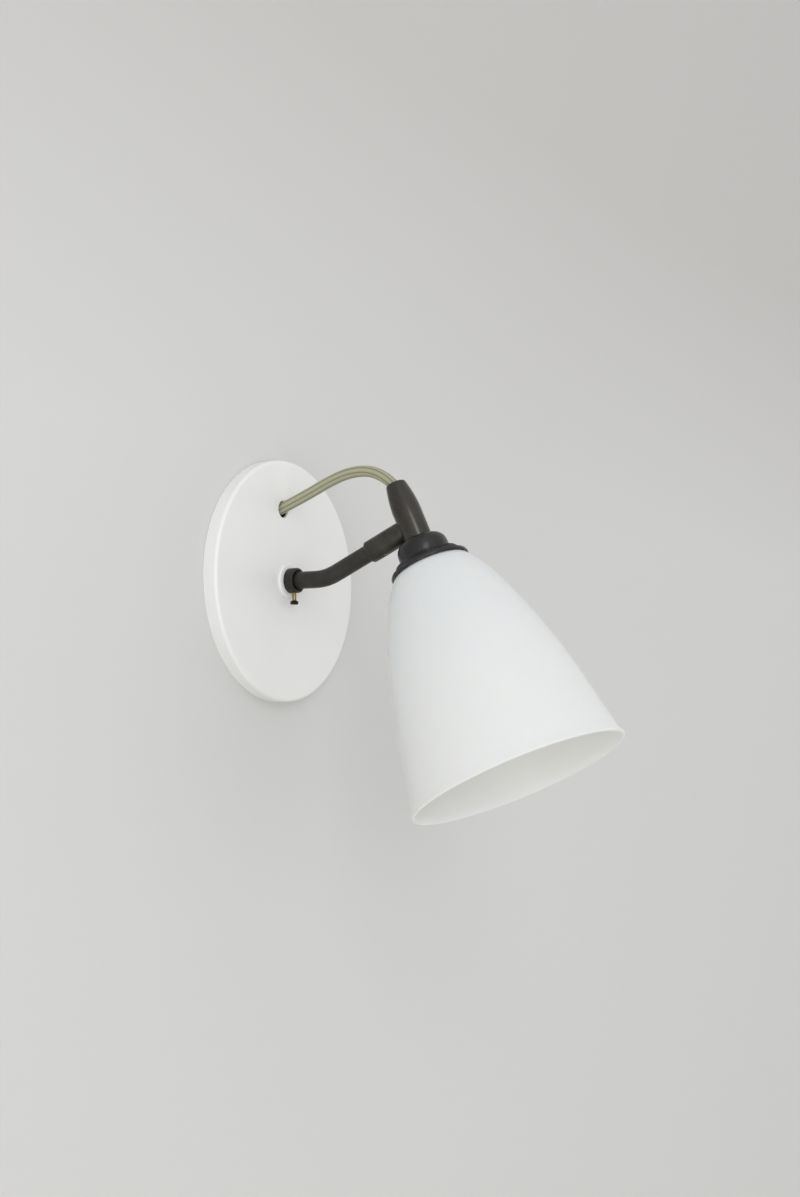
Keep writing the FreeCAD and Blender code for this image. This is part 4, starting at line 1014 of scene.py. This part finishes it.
# %% Thumb screw: brass neck, blackened head
HEAD_HEIGHT = -(THUMB_HEAD_START - 0.1) * MM
HALF_FADE = 0.05 * MM
BLACKENED = (0.018, 0.017, 0.016, 1.0)
thumb_metal = uneven_material(
    "thumb_screw_metal", (0.36, 0.28, 0.12), (0.24, 0.18, 0.08), 0.30, 0.42, patch_scale=200.0,
    grain=0.12, Metallic=0.9,
)
tree = thumb_metal.node_tree
shader = tree.nodes["Principled BSDF"]
brass_colour = shader.inputs["Base Color"].links[0].from_socket
height_parts = add(tree, "ShaderNodeSeparateXYZ")
places = next(node for node in tree.nodes if node.type == "TEX_COORD")
tree.links.new(places.outputs["Object"], height_parts.inputs[0])
above_head = remap(
    tree, height_parts.outputs[2], HEAD_HEIGHT - HALF_FADE, HEAD_HEIGHT + HALF_FADE, 0.0, 1.0
)
blackened = plain_colour(tree, BLACKENED)
two_colours = mix_colours(tree, above_head, blackened, brass_colour)
tree.links.new(two_colours, shader.inputs["Base Color"])

# %% Enamel, china and glass
enamel = uneven_material(
    "white_stoved_enamel", (0.82, 0.82, 0.815), (0.80, 0.80, 0.795), 0.34, 0.42, patch_scale=18.0,
    grain_scale=420.0, grain=0.03,
)
china = uneven_material(
    "white_glazed_china", (0.750, 0.765, 0.765), (0.740, 0.755, 0.755), 0.36, 0.44,
    patch_scale=14.0, grain_scale=160.0, grain=0.03, Specular_IOR_Level=0.4,
    Subsurface_Weight=0.7, Subsurface_Radius=(1.0, 0.85, 0.6), Subsurface_Scale=6.0 * MM,
)
opal_glass = uneven_material(
    "opal_bulb_glass", (0.90, 0.89, 0.865), (0.88, 0.87, 0.845), 0.10, 0.16, patch_scale=40.0,
    grain=0.02, Transmission_Weight=0.10, IOR=1.45,
)

# %% Plastics and rubber
black_plastic = uneven_material(
    "holder_moulding", (0.022, 0.022, 0.023), (0.028, 0.028, 0.028), 0.42, 0.55, patch_scale=60.0,
    grain_scale=1500.0, grain=0.15,
)
pale_plastic = uneven_material(
    "pale_moulding", (0.66, 0.65, 0.60), (0.60, 0.59, 0.55), 0.40, 0.52, patch_scale=50.0,
    grain_scale=1200.0, grain=0.12,
)
rubber = uneven_material(
    "gasket_rubber", (0.030, 0.030, 0.030), (0.024, 0.024, 0.024), 0.70, 0.80, grain=0.2,
)
cap_insulation = uneven_material(
    "cap_insulation", (0.02, 0.02, 0.03), (0.03, 0.03, 0.03), 0.15, 0.25, grain=0.05,
)
CORE_COLOURS = {
    "live_core": (0.10, 0.035, 0.015),
    "neutral_core": (0.02, 0.08, 0.35),
    "earth_core": (0.20, 0.42, 0.05),
}
cores = {}
for node, colour in CORE_COLOURS.items():
    darker = tuple(part * 0.9 for part in colour)
    cores[node] = uneven_material(node + "_sheath", colour, darker, 0.30, 0.42)

# %% Braided flex
STRAW = (0.46, 0.455, 0.31, 1.0)
SAGE = (0.32, 0.325, 0.225, 1.0)
# Painted shade: the furrows between the ribs are coloured darker, as if in shadow.
FURROW_PAINTED_SHADE = (0.17, 0.17, 0.115, 1.0)
WEAVE_DEPTH = 0.2 * MM
flex_cotton, tree, shader = new_material(
    "cotton_braid", Roughness=0.9, Sheen_Weight=0.05, Sheen_Roughness=0.5
)
uv_map = add(tree, "ShaderNodeUVMap", uv_map="UVMap")
weave_node = add(tree, "ShaderNodeGroup", node_tree=braid)
tree.links.new(uv_map.outputs["UV"], weave_node.inputs["Vector"])
set_inputs(weave_node, Yarns_Around=21.0, Yarns_Per_Metre=1100.0)
straw, sage, furrow_painted_shade = (plain_colour(tree, colour) for colour in (STRAW, SAGE, FURROW_PAINTED_SHADE))
woven = mix_colours(tree, weave_node.outputs["Yarn"], sage, straw)
uv_parts = add(tree, "ShaderNodeSeparateXYZ")
tree.links.new(uv_map.outputs["UV"], uv_parts.inputs[0])
# The rib mask puts the painted shade in the furrows and the woven yarns on the ribs.
rib_angle = work_out(tree, "MULTIPLY", uv_parts.outputs[0], RIDGES * math.pi)
rib = work_out(tree, "ABSOLUTE", work_out(tree, "COSINE", rib_angle))
rib_share = remap(tree, rib, 0.0, 0.75, 0.0, 1.0)
tree.links.new(mix_colours(tree, rib_share, furrow_painted_shade, woven), shader.inputs["Base Color"])
bump(tree, shader, weave_node.outputs["Height"], 0.5, WEAVE_DEPTH)

# %% [markdown]
# ## Which piece gets which finish
# The pieces turned above and the CAD nodes that stay are painted from one table. A CAD node
# keeps its mesh; only its material slots change.

# %% Painting
FINISHES = {
    bronze_stem: ("stem_bronzed", "cord_grip_screw"),
    bronze_spun: ("bun_bronzed", "carrier_bronzed", "ring_milled"),
    bronze_arm: ("arm_tube", "collar_bronzed"),
    bronze_sleeve: ("swivel_sleeve",),
    thumb_metal: ("thumb_turned",),
    brass: (
        "screw_shell", "centre_contact", "bulb_contact", "terminal_screws", "earth_tag",
        "earth_screw",
    ),
    plated: ("mounting_strap", "strap_nut", "sleeve_grub_screw"),
    aluminium: ("bulb_cap",),
    enamel: ("wall_plate_enamelled", "washer_pale"),
    china: ("shade_glazed",),
    opal_glass: ("bulb_opal",),
    black_plastic: ("lampholder", "shade_ring", "flex_anchor"),
    pale_plastic: ("terminal_block", "cord_grip"),
    rubber: ("shade_gasket",),
    cap_insulation: ("bulb_insulator",),
    cores["live_core"]: ("live_core",),
    cores["neutral_core"]: ("neutral_core",),
    cores["earth_core"]: ("earth_core",),
    flex_cotton: ("flex_lower", "flex_upper"),
}


def paint(piece, material):
    piece.data.materials.clear()
    piece.data.materials.append(material)


for material, names in FINISHES.items():
    for name in names:
        paint(bpy.data.objects[name], material)
cotton_end = uneven_material(
    "cotton_end", (0.30, 0.29, 0.20), (0.24, 0.23, 0.16), 0.8, 0.9, grain=0.3
)
paint(NODES["stem_flex"], cotton_end)
print("finishes", len(FINISHES) + 1)

# %% [markdown]
# ## Smoother CAD pieces
# A carried-over node is loose triangles. A Weld modifier joins them and an Edge Split keeps the
# sharp edges, so the small round parts shade smoothly while their meshes stay as packed. Four
# pieces that show cut or bent metal get their edges eased as well.

# %% Smooth shading for the nodes that stay
SPLIT_ANGLE = math.radians(32.0)
EASED_ANGLE = math.radians(30.0)
WELD_DISTANCE = 0.001 * MM
EASED = {
    "swivel_sleeve": 0.2, "cord_grip_screw": 0.06, "sleeve_grub_screw": 0.06,
    "mounting_strap": 0.2,
}
for name, node in NODES.items():
    if node.hide_render:
        continue
    for face in node.data.polygons:
        face.use_smooth = True
    weld = node.modifiers.new("weld", "WELD")
    weld.merge_threshold = WELD_DISTANCE
    if name in EASED:
        eased = node.modifiers.new("eased_edges", "BEVEL")
        eased.width = EASED[name] * MM
        eased.segments = 3
        eased.limit_method = "ANGLE"
        eased.angle_limit = EASED_ANGLE
    split = node.modifiers.new("edges", "EDGE_SPLIT")
    split.split_angle = SPLIT_ANGLE

# %% [markdown]
# ## Wall, floor and light
# The lamp hangs on a plain painted wall in soft daylight, from a window high on its left and a
# weaker bounce low on the same side. The wall has a round opening behind the plate, where a
# real one has its wiring box, and its back face is clear, so the lamp can be looked at from
# behind as well. The floor is far below the picture.

# %% Wall and floor
WALL_COLOUR = (0.655, 0.655, 0.65)
# Painted shade: the darker wall colour higher up.
WALL_PAINTED_SHADE_COLOUR = (0.555, 0.55, 0.54)
WALL_PAINTED_SHADE_HEIGHTS = (0.07, 0.36)
FLOOR_COLOUR = (0.80, 0.785, 0.75)
WALL_REACH = 4.0
WALL_OPENING = 0.0697
WALL_GAP = 0.0004
FLOOR_HEIGHT = -1.5

select_nothing()
bpy.ops.mesh.primitive_circle_add(
    vertices=96, radius=WALL_OPENING, fill_type="NOTHING",
    location=(0.0, WALL_GAP, 0.0), rotation=(math.radians(90.0), 0.0, 0.0),
)
wall = bpy.context.object
wall.name = "wall"
bpy.ops.object.transform_apply(location=True, rotation=True, scale=True)
bpy.ops.object.mode_set(mode="EDIT")
bpy.ops.mesh.select_all(action="SELECT")
bpy.ops.mesh.extrude_edges_move(TRANSFORM_OT_translate={"value": (0.0, 0.0, 0.0)})
grow = WALL_REACH / WALL_OPENING
bpy.ops.transform.resize(value=(grow, 1.0, grow), center_override=(0.0, WALL_GAP, 0.0))
bpy.ops.mesh.select_all(action="SELECT")
bpy.ops.mesh.normals_make_consistent(inside=False)
bpy.ops.object.mode_set(mode="OBJECT")
if wall.data.polygons[0].normal.y > 0.0:
    select_only(wall)
    bpy.ops.object.mode_set(mode="EDIT")
    bpy.ops.mesh.select_all(action="SELECT")
    bpy.ops.mesh.flip_normals()
    bpy.ops.object.mode_set(mode="OBJECT")

select_nothing()
bpy.ops.mesh.primitive_plane_add(size=2.0 * WALL_REACH, location=(0.0, 0.0, FLOOR_HEIGHT))
floor = bpy.context.object
floor.name = "floor"

# %% Wall and floor materials
# The wall's colour darkens with height: painted shade, for the little shade that falls on the wall
# above the lamp.
wall_paint_and_painted_shade, tree, shader = new_material("wall_paint_and_painted_shade", Roughness=0.85)
wall_places = add(tree, "ShaderNodeTexCoord")
wall_parts = add(tree, "ShaderNodeSeparateXYZ")
tree.links.new(wall_places.outputs["Object"], wall_parts.inputs[0])
lit_wall = plain_colour(tree, (*WALL_COLOUR, 1.0))
painted_shade_wall = plain_colour(tree, (*WALL_PAINTED_SHADE_COLOUR, 1.0))
painted_shade_share = remap(tree, wall_parts.outputs[2], *WALL_PAINTED_SHADE_HEIGHTS, 0.0, 1.0)
wall_with_painted_shade = mix_colours(tree, painted_shade_share, lit_wall, painted_shade_wall)
tree.links.new(wall_with_painted_shade, shader.inputs["Base Color"])
clear = add(tree, "ShaderNodeBsdfTransparent")
facing = add(tree, "ShaderNodeNewGeometry")
choose = add(tree, "ShaderNodeMixShader")
tree.links.new(facing.outputs["Backfacing"], choose.inputs[0])
tree.links.new(shader.outputs[0], choose.inputs[1])
tree.links.new(clear.outputs[0], choose.inputs[2])
tree.links.new(choose.outputs[0], tree.nodes["Material Output"].inputs["Surface"])
paint(wall, wall_paint_and_painted_shade)
floor_paint, tree, shader = new_material(
    "floor_paint", Base_Color=(*FLOOR_COLOUR, 1.0), Roughness=0.7
)
paint(floor, floor_paint)
print("the wall's first face looks along y", round(wall.data.polygons[0].normal.y, 2))

# %% Light
def add_light(name, place, target, width, height, power):
    data = bpy.data.lights.new(name, "AREA")
    data.shape = "RECTANGLE"
    data.size = width
    data.size_y = height
    data.energy = power
    lamp = bpy.data.objects.new(name, data)
    bpy.context.scene.collection.objects.link(lamp)
    lamp.location = place
    lamp.rotation_euler = (Vector(target) - Vector(place)).to_track_quat("-Z", "Y").to_euler()


LAMP_MIDDLE = (0.0, -0.1, -0.03)
ROOM_BRIGHTNESS = 0.89
add_light("window", (-2.1, -1.9, 0.75), LAMP_MIDDLE, width=0.9, height=2.0, power=15.0)
add_light("fill", (-1.9, -0.8, -1.0), LAMP_MIDDLE, width=0.8, height=1.6, power=8.0)
world = bpy.data.worlds.new("soft_room")
bpy.context.scene.world = world
world.use_nodes = True
sky = world.node_tree.nodes["Background"]
sky.inputs["Color"].default_value = (1.0, 1.0, 1.0, 1.0)
sky.inputs["Strength"].default_value = ROOM_BRIGHTNESS
